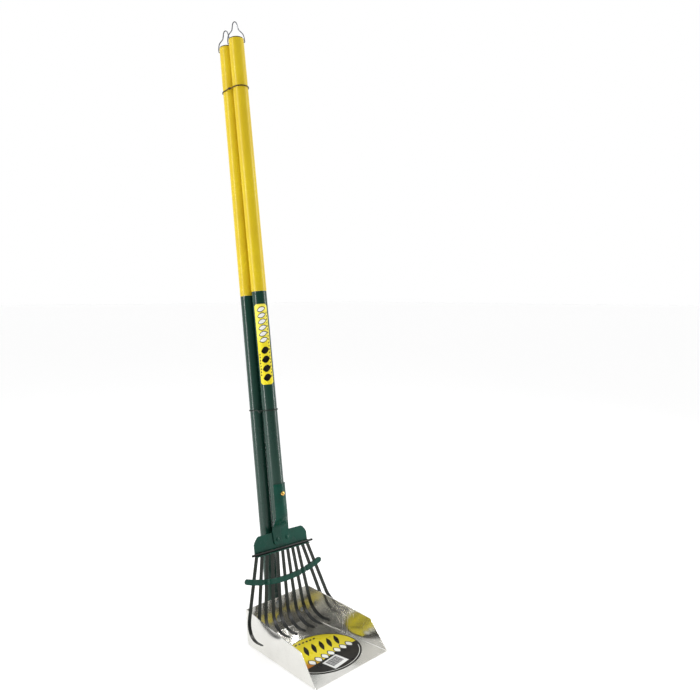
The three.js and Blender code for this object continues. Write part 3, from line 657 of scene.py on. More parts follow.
def lathe(name: str, profile: Sequence[Pair], segments: int = ROUND) -> Thing:
    """Turns a profile about Z.

    Args:
        name: The object's name.
        profile: Radius and height pairs in metres. A radius of 0 at an end is a pole, and a
            profile with no pole closes on itself.
        segments: How many faces go round.

    Returns:
        The turned object.
    """
    rings = list(profile)
    if rings[0][0] > 0 and rings[-1][0] > 0:
        rings.append(rings[0])
    points = []
    for radius, height in rings:
        for step in range(segments):
            angle = math.tau * step / segments
            points.append(Vector((radius * math.cos(angle), radius * math.sin(angle), height)))
    return closed_shell(object_from(name, points, strips(len(rings), segments, closed=True)))


def turned(name: str, outline: Sequence[Pair], corner: float = 0.0, segments: int = ROUND) -> Thing:
    """Turns an outline in millimetres about Z, its corners rounded if a radius is given."""
    profile = softened(outline, corner) if corner else outline
    return lathe(name, [(radius * MM, height * MM) for radius, height in profile], segments)


def closed_shell(made: Thing) -> Thing:
    """Merges doubles, drops flat faces and points every face outwards."""
    shell = bmesh.new()
    shell.from_mesh(made.data)
    bmesh.ops.remove_doubles(shell, verts=shell.verts, dist=1e-7)
    bmesh.ops.dissolve_degenerate(shell, edges=shell.edges, dist=1e-8)
    bmesh.ops.recalc_face_normals(shell, faces=shell.faces)
    shell.to_mesh(made.data)
    shell.free()
    return made


def softened(profile: Sequence[Pair], radius: float, steps: int = 3) -> list[Pair]:
    """Rounds each inner corner of a lathe profile with a small arc."""
    rounded = [profile[0]]
    for before, corner, after in zip(profile, profile[1:], profile[2:]):
        here = Vector(corner)
        back, ahead = Vector(before) - here, Vector(after) - here
        cut = min(radius, back.length * 0.45, ahead.length * 0.45)
        start, end = here + back.normalized() * cut, here + ahead.normalized() * cut
        for step in range(steps + 1):
            share = step / steps
            point = start.lerp(here, share).lerp(here.lerp(end, share), share)
            rounded.append((point.x, point.y))
    rounded.append(profile[-1])
    return rounded


def solved(made: Thing) -> Thing:
    """Applies an object's modifiers, so that it's a plain mesh."""
    bpy.context.view_layer.update()
    graph = bpy.context.evaluated_depsgraph_get()
    mesh = bpy.data.meshes.new_from_object(made.evaluated_get(graph), preserve_all_data_layers=True,
                                           depsgraph=graph)
    made.modifiers.clear()
    made.data = mesh
    return made


def carve(made: Thing, tool: Thing) -> None:
    """Cuts a tool's shape out of an object and uses the tool up."""
    cut = made.modifiers.new("cut", "BOOLEAN")
    cut.operation, cut.solver, cut.object = "DIFFERENCE", "EXACT", tool
    solved(made)
    bpy.data.objects.remove(tool)


def bevelled(made: Thing, width: float, segments: int = 2) -> Thing:
    """Adds a modifier that rounds an object's sharp edges."""
    bevel = made.modifiers.new("edges", "BEVEL")
    bevel.width, bevel.segments, bevel.angle_limit = width, segments, math.radians(40.0)
    bevel.limit_method, bevel.use_clamp_overlap = "ANGLE", True
    return made


def sheet(made: Thing, thickness: float, edge: float) -> Thing:
    """Gives a surface its thickness, half to each side, and rounds its cut edges."""
    wall = made.modifiers.new("wall", "SOLIDIFY")
    wall.thickness, wall.offset, wall.use_even_offset = thickness, 0.0, True
    return closed_shell(solved(bevelled(made, edge)))


def refined(name: str, node: str, width: float, segments: int = 2) -> Thing:
    """A copy of a CAD node with its flat faces joined and its sharp edges rounded."""
    shell = bmesh.new()
    shell.from_mesh(frame["nodes"][node].data)
    bmesh.ops.remove_doubles(shell, verts=shell.verts, dist=2e-7)
    bmesh.ops.dissolve_limit(shell, angle_limit=math.radians(0.6), verts=shell.verts, edges=shell.edges)
    bmesh.ops.triangulate(shell, faces=shell.faces)
    shell.verts.index_update()
    points = [vertex.co.copy() for vertex in shell.verts]
    faces = [[vertex.index for vertex in face.verts] for face in shell.faces]
    shell.free()
    made = object_from(name, points, faces)
    made.data.shade_smooth()
    bevelled(made, width, segments)
    weighted = made.modifiers.new("flats", "WEIGHTED_NORMAL")
    weighted.mode, weighted.weight = "FACE_AREA", 100
    return solved(made)


def block(name: str, size: Point) -> Thing:
    """A box on the XY plane, centred on the origin."""
    wide, deep, tall = size
    corners = [Vector((x * wide / 2, y * deep / 2, z * tall))
               for z in (0, 1) for x, y in ((-1, -1), (1, -1), (1, 1), (-1, 1))]
    faces = [(3, 2, 1, 0), (4, 5, 6, 7), (0, 1, 5, 4), (1, 2, 6, 5), (2, 3, 7, 6), (3, 0, 4, 7)]
    return object_from(name, corners, faces)


def stud(radius: float, height: float, skirt: float = 0.25) -> Thing:
    """A domed rivet head on the XY plane, sizes in millimetres."""
    outline: list[Pair] = [(0, -0.3), (radius * 0.5, -0.3), (radius, 0), (radius, skirt)]
    steps = 8
    for step in range(1, steps):
        angle = QUARTER * step / steps
        outline.append((radius * math.cos(angle), skirt + (height - skirt) * math.sin(angle)))
    return turned("dome", [*outline, (0, height)], segments=40)


# ------------------------------------------------------------------ node tools
class Maker:
    """A geometry node tree with named inputs, used as a modifier on a plain source object."""

    def __init__(self, name: str, numbers: dict[str, float], objects: Sequence[str] = ()) -> None:
        """Makes the tree's sockets.

        Args:
            name: The tree's name.
            numbers: Each number input and its default.
            objects: The names of the inputs that take an object.
        """
        self.tree = bpy.data.node_groups.new(name, "GeometryNodeTree")
        face = self.tree.interface
        face.new_socket("Geometry", in_out="INPUT", socket_type="NodeSocketGeometry")
        for label, default in numbers.items():
            kind = "NodeSocketInt" if isinstance(default, int) else "NodeSocketFloat"
            face.new_socket(label, in_out="INPUT", socket_type=kind).default_value = default
        for label in objects:
            face.new_socket(label, in_out="INPUT", socket_type="NodeSocketObject")
        face.new_socket("Finish", in_out="INPUT", socket_type="NodeSocketMaterial")
        face.new_socket("Geometry", in_out="OUTPUT", socket_type="NodeSocketGeometry")
        self.graph = Graph(self.tree)
        self.given = self.tree.nodes.new("NodeGroupInput").outputs

    def close(self, geometry: Socket) -> None:
        """Ends the tree: real geometry, with its material."""
        real = self.graph.add("GeometryNodeRealizeInstances", {"Geometry": geometry})
        dressed = self.graph.add("GeometryNodeSetMaterial", {"Geometry": real.outputs["Geometry"],
                                                             "Material": self.given["Finish"]})
        self.graph.add("NodeGroupOutput", {"Geometry": dressed.outputs["Geometry"]})

    def run(self, source: Thing, **values: Any) -> Thing:
        """Runs the tree on a source, which becomes the result, with _ for a space in its inputs."""
        modifier = source.modifiers.new("make", "NODES")
        modifier.node_group = self.tree
        sockets = {item.name: item.identifier for item in self.tree.interface.items_tree
                   if item.item_type == "SOCKET" and item.in_out == "INPUT"}
        for label, value in values.items():
            modifier[sockets[label.replace("_", " ")]] = value
        return closed_shell(solved(source))


def ribbon_maker() -> Maker:
    """A wire or ribbon of oval section along a smooth path, with its broad side kept upright."""
    maker = Maker("wire along a path",
                  {"Half Width": 0.001, "Half Thickness": 0.001, "Step": 0.0006, "Sides": 14})
    graph, given = maker.graph, maker.given
    chain = graph.add("GeometryNodeMeshToCurve", {"Mesh": given["Geometry"]})
    smooth = graph.add("GeometryNodeCurveSplineType", {"Curve": chain.outputs["Curve"]},
                       spline_type="CATMULL_ROM")
    even = graph.add("GeometryNodeResampleCurve",
                     {"Curve": smooth.outputs["Curve"], "Length": given["Step"]}, mode="LENGTH")
    level = graph.add("GeometryNodeSetCurveNormal", {"Curve": even.outputs["Curve"]}, mode="Z_UP")
    circle = graph.add("GeometryNodeCurvePrimitiveCircle", {"Resolution": given["Sides"], "Radius": 1.0})
    size = graph.add("ShaderNodeCombineXYZ",
                     {"X": given["Half Thickness"], "Y": given["Half Width"], "Z": 1.0})
    section = graph.add("GeometryNodeTransform",
                        {"Geometry": circle.outputs["Curve"], "Scale": size.outputs["Vector"]})
    swept = graph.add("GeometryNodeCurveToMesh",
                      {"Curve": level.outputs["Curve"], "Profile Curve": section.outputs["Geometry"],
                       "Fill Caps": True})
    maker.close(swept.outputs["Mesh"])
    return maker


def copies_maker() -> Maker:
    """Copies of one thing on marked points, each with its own turn and size."""
    maker = Maker("copies on marks", {"Size": 1.0}, ["Thing"])
    graph, given = maker.graph, maker.given
    thing = graph.add("GeometryNodeObjectInfo", {"Object": given["Thing"], "As Instance": True})
    turn, size = (graph.add("GeometryNodeInputNamedAttribute", {"Name": label},
                            data_type="FLOAT_VECTOR").outputs["Attribute"] for label in ("turn", "size"))
    scale = graph.add("ShaderNodeVectorMath", {0: size, "Scale": given["Size"]}, operation="SCALE")
    placed = graph.add("GeometryNodeInstanceOnPoints",
                       {"Points": given["Geometry"], "Instance": thing.outputs["Geometry"],
                        "Rotation": turn, "Scale": scale.outputs["Vector"]})
    maker.close(placed.outputs["Instances"])
    return maker


@dataclass(frozen=True)
class Mark:
    """Where a copy goes: its place in metres, its turn in radians and its size."""

    at: Point
    turn: Point = (0.0, 0.0, 0.0)
    size: Point = (1.0, 1.0, 1.0)


class Workshop:
    """What every sub-assembly uses: the finishes, the node trees, and how a piece is handed over."""

    def __init__(self) -> None:
        """Builds the finishes and the node trees."""
        self.finish = Finishes()
        self.ribbon = ribbon_maker()
        self.copies = copies_maker()

    def wire(self, name: str, path: Sequence[Vector], finish: Material, half_width: float,
             half_thickness: float) -> Thing:
        """A wire along a path of points, its section in millimetres."""
        source = object_from(name, path, [], [(step, step + 1) for step in range(len(path) - 1)])
        return self.ribbon.run(source, Half_Width=half_width * MM, Half_Thickness=half_thickness * MM,
                               Finish=finish)

    def repeat(self, name: str, thing: Thing, marks: Sequence[Mark], finish: Material, body: Body,
               nodes: Sequence[str] = (), place: Matrix | None = None,
               crease: float = 38.0) -> Thing:
        """Hands over copies of a thing on marks as one piece. The thing itself is used up."""
        points = object_from(name, [Vector(mark.at) for mark in marks], [])
        for label in ("turn", "size"):
            layer = points.data.attributes.new(label, "FLOAT_VECTOR", "POINT")
            layer.data.foreach_set("vector", [number for mark in marks for number in getattr(mark, label)])
        made = self.copies.run(points, Thing=thing, Finish=finish)
        bpy.data.objects.remove(thing)
        return self.hand_over(made, body, nodes, None, place, crease)

    def hand_over(self, made: Thing, body: Body, nodes: Sequence[str] = (),
                  finish: Material | None = None, place: Matrix | None = None,
                  crease: float = 38.0) -> Thing:
        """Puts a finished piece in its place, shades it and ties it to its body.

        Args:
            made: The piece.
            body: The body that it moves with.
            nodes: The CAD nodes that it stands for.
            finish: Its material, if it has none yet.
            place: The frame that it was built in.
            crease: The angle in degrees past which an edge stays sharp.

        Returns:
            The piece.
        """
        if place is not None:
            made.data.transform(place)
        if finish is not None:
            made.data.materials.clear()
            made.data.materials.append(finish)
        made.data.shade_smooth()
        made.data.set_sharp_from_angle(angle=math.radians(crease))
        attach(made, body.value)
        if nodes:
            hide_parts(*nodes)
        LOG.info("%s: %d faces on %s", made.name, len(made.data.polygons), body.value)
        return made


def joint(name: str) -> dict[str, Any]:
    """A joint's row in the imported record."""
    return next(row for row in frame["joints"] if row["name"] == name)


def axis_frame(foot: Vector, axis: Vector) -> Matrix:
    """The frame of a leaning handle: X to the right, Y to the back, Z up its axis."""
    up = axis.normalized()
    right = Vector((0.0, 1.0, 0.0)).cross(up).normalized()
    made = Matrix((right, up.cross(right), up)).transposed().to_4x4()
    made.translation = foot
    return made


# --------------------------------------------------------------------- handles
@dataclass
class Handle:
    """One tube handle: two vinyl sleeves, an end plug and a wire hanger. Sizes in millimetres."""

    prefix: str
    body: Body
    hanger_body: Body
    axis: Vector
    foot: float
    join: float
    top: float
    foot_front: float | None = None
    lower_radius: float = 11.1
    grip_radius: float = 11.4
    bore: float = 10.7
    lip: float = 0.28
    join_gap: float = 0.15
    plug_skirt: float = 9.2
    plug_reach: float = 2.8
    hole_drop: float = 5.0
    hole_radius: float = 1.2
    drill_reach: float = 20.0
    wire_radius: float = 0.8
    hanger_turn: float = -math.pi / 4
    hanger_outline: tuple[Pair, ...] = (
        (8.7, 0), (10.8, 0), (12.5, 0.35), (12.75, 2.4), (12.3, 7.5), (11.1, 12.6), (8.2, 16.4),
        (5.3, 19.8), (4.2, 24), (3.3, 28.6), (2.0, 31.4), (0, 32.6))
    place: Matrix = field(init=False)

    def __post_init__(self) -> None:
        """Works out the handle's frame from its hanger's hinge."""
        hinge = Vector(joint(f"{self.prefix}_hanger_swing")["pos_m"])
        self.place = axis_frame(hinge - self.axis * (self.top - self.hole_drop) * MM, self.axis)

    def sleeve(self, name: str, radius: float, low: float, high: float, drilled: bool) -> Thing:
        """A vinyl sleeve with rolled ends, and the hanger's holes if it's drilled."""
        middle = (low + high) / 2
        made = turned(name, [(self.bore, middle), (self.bore, low), (radius - self.lip, low),
                             (radius, low + 2.2), (radius, high - 0.6), (radius - 0.12, high),
                             (self.bore, high), (self.bore, middle + 1)], 0.3)
        if drilled:
            ends = (-self.drill_reach, self.drill_reach)
            drill = turned("drill", [(0, ends[0]), (self.hole_radius, ends[0]),
                                     (self.hole_radius, ends[1]), (0, ends[1])], segments=32)
            turn = Matrix.Rotation(self.hanger_turn, 4, "Z") @ Matrix.Rotation(QUARTER, 4, "Y")
            drill.data.transform(Matrix.Translation((0, 0, (self.top - self.hole_drop) * MM)) @ turn)
            carve(made, drill)
        return made

    def saw_foot(self, made: Thing) -> None:
        """Saws the tube's foot off on a slant, highest at the front."""
        if self.foot_front is None:
            return
        rise, run = self.foot_front - self.foot, 2 * self.lower_radius + 1.8
        waste = block("waste", (60 * MM, 80 * MM, 60 * MM))
        turn = Matrix.Rotation(-math.atan2(rise, run), 4, "X") @ Matrix.Translation((0, 0, -60 * MM))
        waste.data.transform(Matrix.Translation((0, 0, (self.foot + rise / 2) * MM)) @ turn)
        carve(made, waste)

    def plug(self, name: str) -> Thing:
        """The domed plug in the handle's top."""
        rim, edge, under = self.top + 0.3, self.grip_radius - 0.3, self.top - self.plug_reach
        return turned(name, [(0, under), (self.plug_skirt, under), (self.plug_skirt, rim), (edge, rim),
                             (edge - 0.05, rim + 0.9), (9.4, rim + 1.75), (6.4, rim + 2.4),
                             (3.2, rim + 2.75), (0, rim + 2.85)], 0.35)

    def hanger_path(self) -> list[Vector]:
        """The hanger's wire, from inside one side of the tube over to the other."""
        line = Vector((math.cos(self.hanger_turn), math.sin(self.hanger_turn), 0))
        mirrored = [(-side, height) for side, height in reversed(self.hanger_outline[:-1])]
        hinge = Vector((0, 0, self.top - self.hole_drop))
        return [(hinge + line * side + Vector((0, 0, height))) * MM
                for side, height in [*self.hanger_outline, *mirrored]]

    def build(self, shop: Workshop) -> None:
        """Builds and dresses the handle."""
        name, finish = self.prefix, shop.finish
        lower = self.sleeve(f"{name}_tube_sleeve", self.lower_radius, self.foot,
                            self.join - self.join_gap, False)
        self.saw_foot(lower)
        grip = self.sleeve(f"{name}_grip", self.grip_radius, self.join + self.join_gap, self.top, True)
        for made, slot, node, coat in (
                (lower, Slot.GREEN_VINYL, "lower_sleeve", finish.green),
                (grip, Slot.YELLOW_VINYL, "grip_sleeve", finish.yellow),
                (self.plug(f"{name}_plug"), Slot.PLUG, "end_plug", finish.plug)):
            shop.hand_over(made, self.body, [f"{name}_{node}"], coat, self.place)
        wire = shop.wire(f"{name}_hanging_loop", self.hanger_path(), finish.wire, self.wire_radius,
                         self.wire_radius)
        shop.hand_over(wire, self.hanger_body, [f"{name}_hanger"], None, self.place, 60.0)
        core = frame["nodes"][f"{name}_handle_core"]
        core.data.materials.clear()
        core.data.materials.append(finish.zinc)


# ------------------------------------------------------------------------- pan
@dataclass
class Pan:
    """The folded pan, its fixings and its oval label. Sizes in millimetres."""

    place: Matrix
    lean: float = 0.118
    depth: float = 155.0
    thickness: float = 1.0
    axis_y: float = 89.95
    rivet_x: float = 44.0
    rivet_z: float = 19.0
    bolts: Pair = (18.0, 40.0)
    tube_radius: float = 11.1
    foot: float = 8.0
    plug_skirt: float = 9.2
    label_low: float = 1.02
    label_thickness: float = 0.3
    sticker_middle: Pair = (-3.4, -46.0)
    sticker_size: Pair = (30.0, 23.4)
    sticker_turn: float = 0.14
    bar_widths: tuple[float, ...] = (1.5, 0.6, 1.0, 0.6, 1.6, 0.6, 0.9, 1.4, 0.6, 1.1, 0.6, 1.5, 0.8, 1.2)
    bar_gap: float = 0.62

    def __post_init__(self) -> None:
        """Works out the turns of things that face into the pan and away behind it."""
        self.inward: Point = (QUARTER + self.lean, 0.0, 0.0)
        self.outward: Point = (-QUARTER + self.lean, 0.0, 0.0)

    def wall_point(self, x: float, height: float, behind: float) -> Point:
        """A point at a height on the back wall's outer face, moved a distance out from it."""
        y = self.depth / 2 + height * math.tan(self.lean) + behind * math.cos(self.lean)
        return (x * MM, y * MM, (height - behind * math.sin(self.lean)) * MM)

    def axis_off(self) -> float:
        """How far the handle's axis stands behind the back wall's outer face."""
        return (self.axis_y - self.depth / 2) * math.cos(self.lean)

    def rivets(self, shop: Workshop) -> None:
        """The two corner rivets, with a dome inside and a tail outside."""
        for side, x in (("left", -self.rivet_x), ("right", self.rivet_x)):
            dome = Mark(self.wall_point(x, self.rivet_z, -self.thickness - 0.02), self.inward)
            tail = Mark(self.wall_point(x, self.rivet_z, self.thickness + 0.3), self.outward,
                        (0.85, 0.85, 0.8))
            shop.repeat(f"pan_corner_rivet_{side}", stud(3.4, 1.3), [dome, tail], shop.finish.zinc,
                        Body.PAN, [f"pan_rivet_{side}"])

    def bolt(self) -> Thing:
        """A round-headed bolt along -Z from its head, with a threaded end."""
        shank = self.axis_off() + self.tube_radius + 6.2 + self.thickness
        thread, pitch = 9.0, 0.8
        height = -shank + thread
        outline: list[Pair] = [(0, 2.6), (2.6, 2.35), (4.4, 1.55), (5.3, 0.65), (5.6, 0.15), (5.6, 0),
                               (2.5, 0), (2.5, height)]
        while height > -shank + pitch:
            outline += [(2.12, height - pitch * 0.35), (2.48, height - pitch * 0.85)]
            height -= pitch
        return turned("bolt", [*outline, (2.1, -shank + 0.1), (0, -shank)], segments=48)

    def nut(self) -> Thing:
        """A hexagon nut with chamfered corners, on a thin washer."""
        radius, bore, low, high, count = 5.2, 2.6, 0.6, 4.0, 36
        points = []
        for hexagonal, height in ((True, low), (True, high), (False, high), (False, low), (True, low)):
            for step in range(count):
                angle = math.tau * step / count
                flat = math.cos(math.pi / 6) / math.cos((angle % (math.pi / 3)) - math.pi / 6)
                reach = radius * flat if hexagonal else bore
                points.append(Vector((reach * math.cos(angle), reach * math.sin(angle), height)) * MM)
        made = closed_shell(object_from("nut", points, strips(5, count, closed=True)))
        solved(bevelled(made, 0.35 * MM))
        washer = turned("washer", [(2.7, 0), (6.0, 0), (6.0, low), (2.7, low)], segments=48)
        joined = bmesh.new()
        joined.from_mesh(made.data)
        joined.from_mesh(washer.data)
        joined.to_mesh(made.data)
        joined.free()
        bpy.data.objects.remove(washer)
        return made

    def fixings(self, shop: Workshop) -> None:
        """The saddles, bolts and nuts that hold the handle behind the wall."""
        for which, along in zip(("lower", "upper"), self.bolts):
            height = along * math.cos(self.lean) + self.axis_off() * math.sin(self.lean)
            saddle = refined(f"pan_saddle_block_{which}", f"pan_saddle_{which}", 0.5 * MM, 3)
            shop.hand_over(saddle, Body.PAN, [f"pan_saddle_{which}"],
                           shop.finish.saddle)
            head = Mark(self.wall_point(0, height, -self.thickness - 0.05), self.inward)
            shop.repeat(f"pan_through_bolt_{which}", self.bolt(), [head], shop.finish.zinc,
                        Body.PAN, [f"pan_bolt_{which}"])
            behind = self.axis_off() + self.tube_radius + 0.02
            seat = Mark(self.wall_point(0, height, behind), self.outward)
            shop.repeat(f"pan_hex_nut_{which}", self.nut(), [seat], shop.finish.zinc,
                        Body.PAN, [f"pan_nut_{which}"])

    def foot_plug(self, shop: Workshop) -> None:
        """The cap on the bottom of the pan's handle."""
        rim, low = self.tube_radius - 0.1, self.foot
        made = turned("pan_foot_cap", [
            (0, low - 2.2), (self.tube_radius - 1.2, low - 2.2), (rim, low - 1.3), (rim, low - 0.05),
            (self.plug_skirt, low - 0.05), (self.plug_skirt, low + 4), (0, low + 4)], 0.35)
        shop.hand_over(made, Body.PAN, ["pan_foot_plug"], shop.finish.saddle,
                       self.place)

    def label(self, shop: Workshop) -> None:
        """The oval label on the floor, its white sticker and the sticker's bars."""
        low, high = self.label_low, self.label_low + self.label_thickness
        rings = [(0.0, low), (0.6, low), (1.0, low), (1.0, high - 0.08), (0.9985, high), (0.6, high),
                 (0.0, high)]
        made = lathe("pan_oval_label", [(share, z * MM) for share, z in rings], 160)
        half = Matrix.Diagonal((LABEL_HALF[0] * MM, LABEL_HALF[1] * MM, 1.0, 1.0))
        made.data.transform(Matrix.Translation((0, LABEL_MIDDLE[1] * MM, 0)) @ half)
        shop.hand_over(made, Body.PAN, ["pan_label"], shop.finish.oval)
        place = Matrix.Translation((*(at * MM for at in self.sticker_middle), (high + 0.01) * MM))
        place @= Matrix.Rotation(self.sticker_turn, 4, "Z")
        wide, tall = self.sticker_size
        card = solved(bevelled(block("pan_sticker", (wide * MM, tall * MM, 0.1 * MM)), 0.03 * MM))
        shop.hand_over(card, Body.PAN, (), shop.finish.sticker, place)
        marks, at = [], -(sum(self.bar_widths) + self.bar_gap * (len(self.bar_widths) - 1)) / 2
        for width in self.bar_widths:
            marks.append(Mark(((at + width / 2) * MM, 1.6 * MM, 0.1 * MM), size=(width, 1.0, 1.0)))
            at += width + self.bar_gap
        bar = block("bar", (1.0 * MM, (tall - 8.0) * MM, 0.05 * MM))
        shop.repeat("pan_sticker_bars", bar, marks, shop.finish.bars, Body.PAN, (), place)

    def build(self, shop: Workshop) -> None:
        """Builds and dresses the pan."""
        tray = refined("pan_tray", "pan_sheet", 0.22 * MM)
        shop.hand_over(tray, Body.PAN, ["pan_sheet"], shop.finish.sheet, crease=30.0)
        for build in (self.rivets, self.fixings, self.foot_plug, self.label):
            build(shop)


# ------------------------------------------------------------------------ rake
@dataclass
class RakeHead:
    """The socket, head plate, rod, tines and brace. Sizes in millimetres.

    The head's own frame has X along the rod, -Y forward and Z up the handle.
    """

    place: Matrix
    rod_along: float = 131.0
    roll: float = 0.042
    pitch: float = -0.07
    gap: float = 0.3
    tine_pitch: float = 9.55
    tine_fan: tuple[float, ...] = (-0.27, -0.18, -0.155, -0.105, -0.062, -0.007, 0.056, 0.111, 0.158,
                                   0.309, 0.342)
    tine_width: float = 6.0
    tine_thickness: float = 1.0
    tine_corner: float = 0.28
    tine_straight: float = 88.5
    tine_bend_radius: float = 29.4
    tine_bend: float = 1.45
    tip_width: float = 3.4
    rod_radius: float = 1.7
    rod_half: float = 58.5
    fan_apex: float = 170.0
    brace_radius: float = 216.0
    brace_width: float = 8.0
    brace_thickness: float = 1.0
    brace_half_angle: float = 0.326
    riveted: tuple[int, int] = (2, 8)
    socket_radius: float = 12.0
    socket_thickness: float = 1.2
    socket_half: float = 1.065
    socket_top: float = 228.0
    socket_flare: float = 181.0
    tang_spread: float = 1.15
    bead_radius: float = 0.8
    screw_along: float = 213.0
    head_rivets: tuple[Pair, Pair] = ((-7.5, 13.0), (10.5, 13.0))
    plate_thickness: float = 1.5
    label_from: float = 378.0
    label_to: float = 499.0
    label_corner: float = 5.0
    label_half: float = 0.92
    label_turn: float = -0.66
    label_radius: float = 11.12
    head: Matrix = field(init=False)

    def __post_init__(self) -> None:
        """Works out the head's frame from the handle's."""
        turn = Matrix.Rotation(self.roll, 4, "Y") @ Matrix.Rotation(self.pitch, 4, "X")
        self.head = self.place @ Matrix.Translation((0, 0, self.rod_along * MM)) @ turn

    def tine_x(self, index: int) -> float:
        """Where a tine's root stands along the rod."""
        return (index - (len(self.tine_fan) - 1) / 2) * self.tine_pitch

    def tine(self) -> Thing:
        """One spring-steel tine hanging down from the origin, hooked forward, its edges rounded."""
        half, thick, corner = self.tine_width / 2, self.tine_thickness / 2, self.tine_corner
        section = [(half - corner, -thick), (half, -thick + corner), (half, thick - corner),
                   (half - corner, thick)]
        section += [(-x, -y) for x, y in section]
        rings: list[tuple[Vector, float, float]] = []
        for drop in (-0.8, 12.0, 30.0, 50.0, 70.0, self.tine_straight):
            rings.append((Vector((0, 0, -drop)), 0.0, 1.0))
        knee, radius, steps = -self.tine_straight, self.tine_bend_radius, 22
        for step in range(1, steps + 1):
            angle = self.tine_bend * step / steps
            at = Vector((0, -radius * (1 - math.cos(angle)), knee - radius * math.sin(angle)))
            rings.append((at, angle, 1.0))
        end = rings[-1][0]
        ahead = Vector((0, -math.sin(self.tine_bend), -math.cos(self.tine_bend)))
        tip = self.tip_width / self.tine_width
        for along, width in ((2.5, 0.99), (5.0, 0.93), (7.5, 0.82), (9.2, 0.7), (9.9, tip),
                             (10.2, tip * 0.72)):
            rings.append((end + ahead * along, self.tine_bend, width))
        points = []
        for at, angle, width in rings:
            out = Vector((0, math.cos(angle), -math.sin(angle)))
            points += [(at + Vector((x * width, 0, 0)) + out * y) * MM for x, y in section]
        count = len(section)
        faces = strips(len(rings), count, closed=True)
        faces += [tuple(range(count)), tuple(range(len(points) - count, len(points)))]
        return closed_shell(object_from("tine", points, faces))

    def tines(self, shop: Workshop) -> None:
        """The fan of tines."""
        marks = [Mark((self.tine_x(index) * MM, 0, 0), (0, -turn, 0))
                 for index, turn in enumerate(self.tine_fan)]
        nodes = [f"tine_{index + 1:02d}" for index in range(len(self.tine_fan))]
        shop.repeat("rake_tines", self.tine(), marks, shop.finish.tine, Body.RAKE,
                    nodes, self.head, 30.0)

    def brace_point(self, index: int) -> Pair:
        """The X and Z where the brace's centre line crosses a tine."""
        turn, x = self.tine_fan[index], self.tine_x(index)
        reach = x * math.sin(turn) + self.fan_apex * math.cos(turn)
        drop = -reach + math.sqrt(reach**2 - (x**2 + self.fan_apex**2 - self.brace_radius**2))
        return x + math.sin(turn) * drop, -math.cos(turn) * drop

    def away(self, index: int, angle: float) -> float:
        """How far a place on the brace is from a tine, from its angle about the fan's apex."""
        x, z = self.brace_point(index)
        return (angle - math.atan2(x, self.fan_apex - z)) * self.brace_radius

    def crimp(self, angle: float) -> float:
        """How far the brace is pinched in, in millimetres, at an angle about the fan's apex."""
        pinch = 0.0
        for index in range(len(self.tine_fan)):
            away = self.away(index, angle)
            if index in self.riveted:
                pinch += 0.62 * math.exp(-(((abs(away) - 5.0) / 1.1) ** 2))
                pinch -= 0.3 * math.exp(-((away / 3.4) ** 4))
            else:
                pinch -= 0.12 * math.exp(-((away / 3.2) ** 4))
        return pinch

    def waist(self, angle: float) -> float:
        """How far the brace's edges are nipped in beside its rivets, in millimetres."""
        return sum(1.1 * math.exp(-(((abs(self.away(index, angle)) - 4.4) / 1.3) ** 2))
                   for index in self.riveted)

    def brace(self, shop: Workshop, which: str, side: int) -> None:
        """One curved strip across the tines, pinched round the two that it's riveted to."""
        along, across = 150, 7
        reach = self.brace_half_angle + (self.brace_width / 2 - 0.12) / self.brace_radius
        points = []
        for step in range(along + 1):
            angle = -reach + 2 * reach * step / along
            over = max(0.0, (abs(angle) - self.brace_half_angle) * self.brace_radius)
            half = math.sqrt(max(0.3, (self.brace_width / 2) ** 2 - over**2)) - self.waist(angle)
            away = self.tine_thickness / 2 + self.gap + self.brace_thickness / 2 - self.crimp(angle)
            for column in range(across):
                radius = self.brace_radius + half * (2 * column / (across - 1) - 1)
                points.append(Vector((radius * math.sin(angle), side * away,
                                      self.fan_apex - radius * math.cos(angle))) * MM)
        made = sheet(object_from(f"brace_strip_{which}", points, strips(along + 1, across)),
                     self.brace_thickness * MM, 0.22 * MM)
        shop.hand_over(made, Body.RAKE, [f"brace_{which}"], shop.finish.enamel,
                       self.head, 34.0)

    def socket_rows(self) -> list[tuple[float, float, float, float]]:
        """The socket's rows, from its top down to the tang's end.

        Returns:
            Each row's height up the handle, its share of the way from shell to flat tang, its
            height on the tang, and its share of the tang's width.
        """
        rows: list[tuple[float, float, float, float]] = [(self.socket_top, 0, 60, 1)]
        rows += [(self.socket_top - 0.1 - 41 * step / 8, 0, 60 - 10 * step / 8, 1) for step in range(9)]
        for step in range(1, 31):
            share = step / 30
            rows.append((self.socket_flare - 24 * share, share * share * (3 - 2 * share), 50 - 24 * share, 1))
        return rows + [(150.0, 1, height, narrow) for height, narrow in (
            (20, 1), (17, 1), (14, 1), (11, 0.995), (9, 0.97), (7.6, 0.93), (6.5, 0.87), (5.6, 0.78),
            (5.0, 0.68), (4.6, 0.55))]

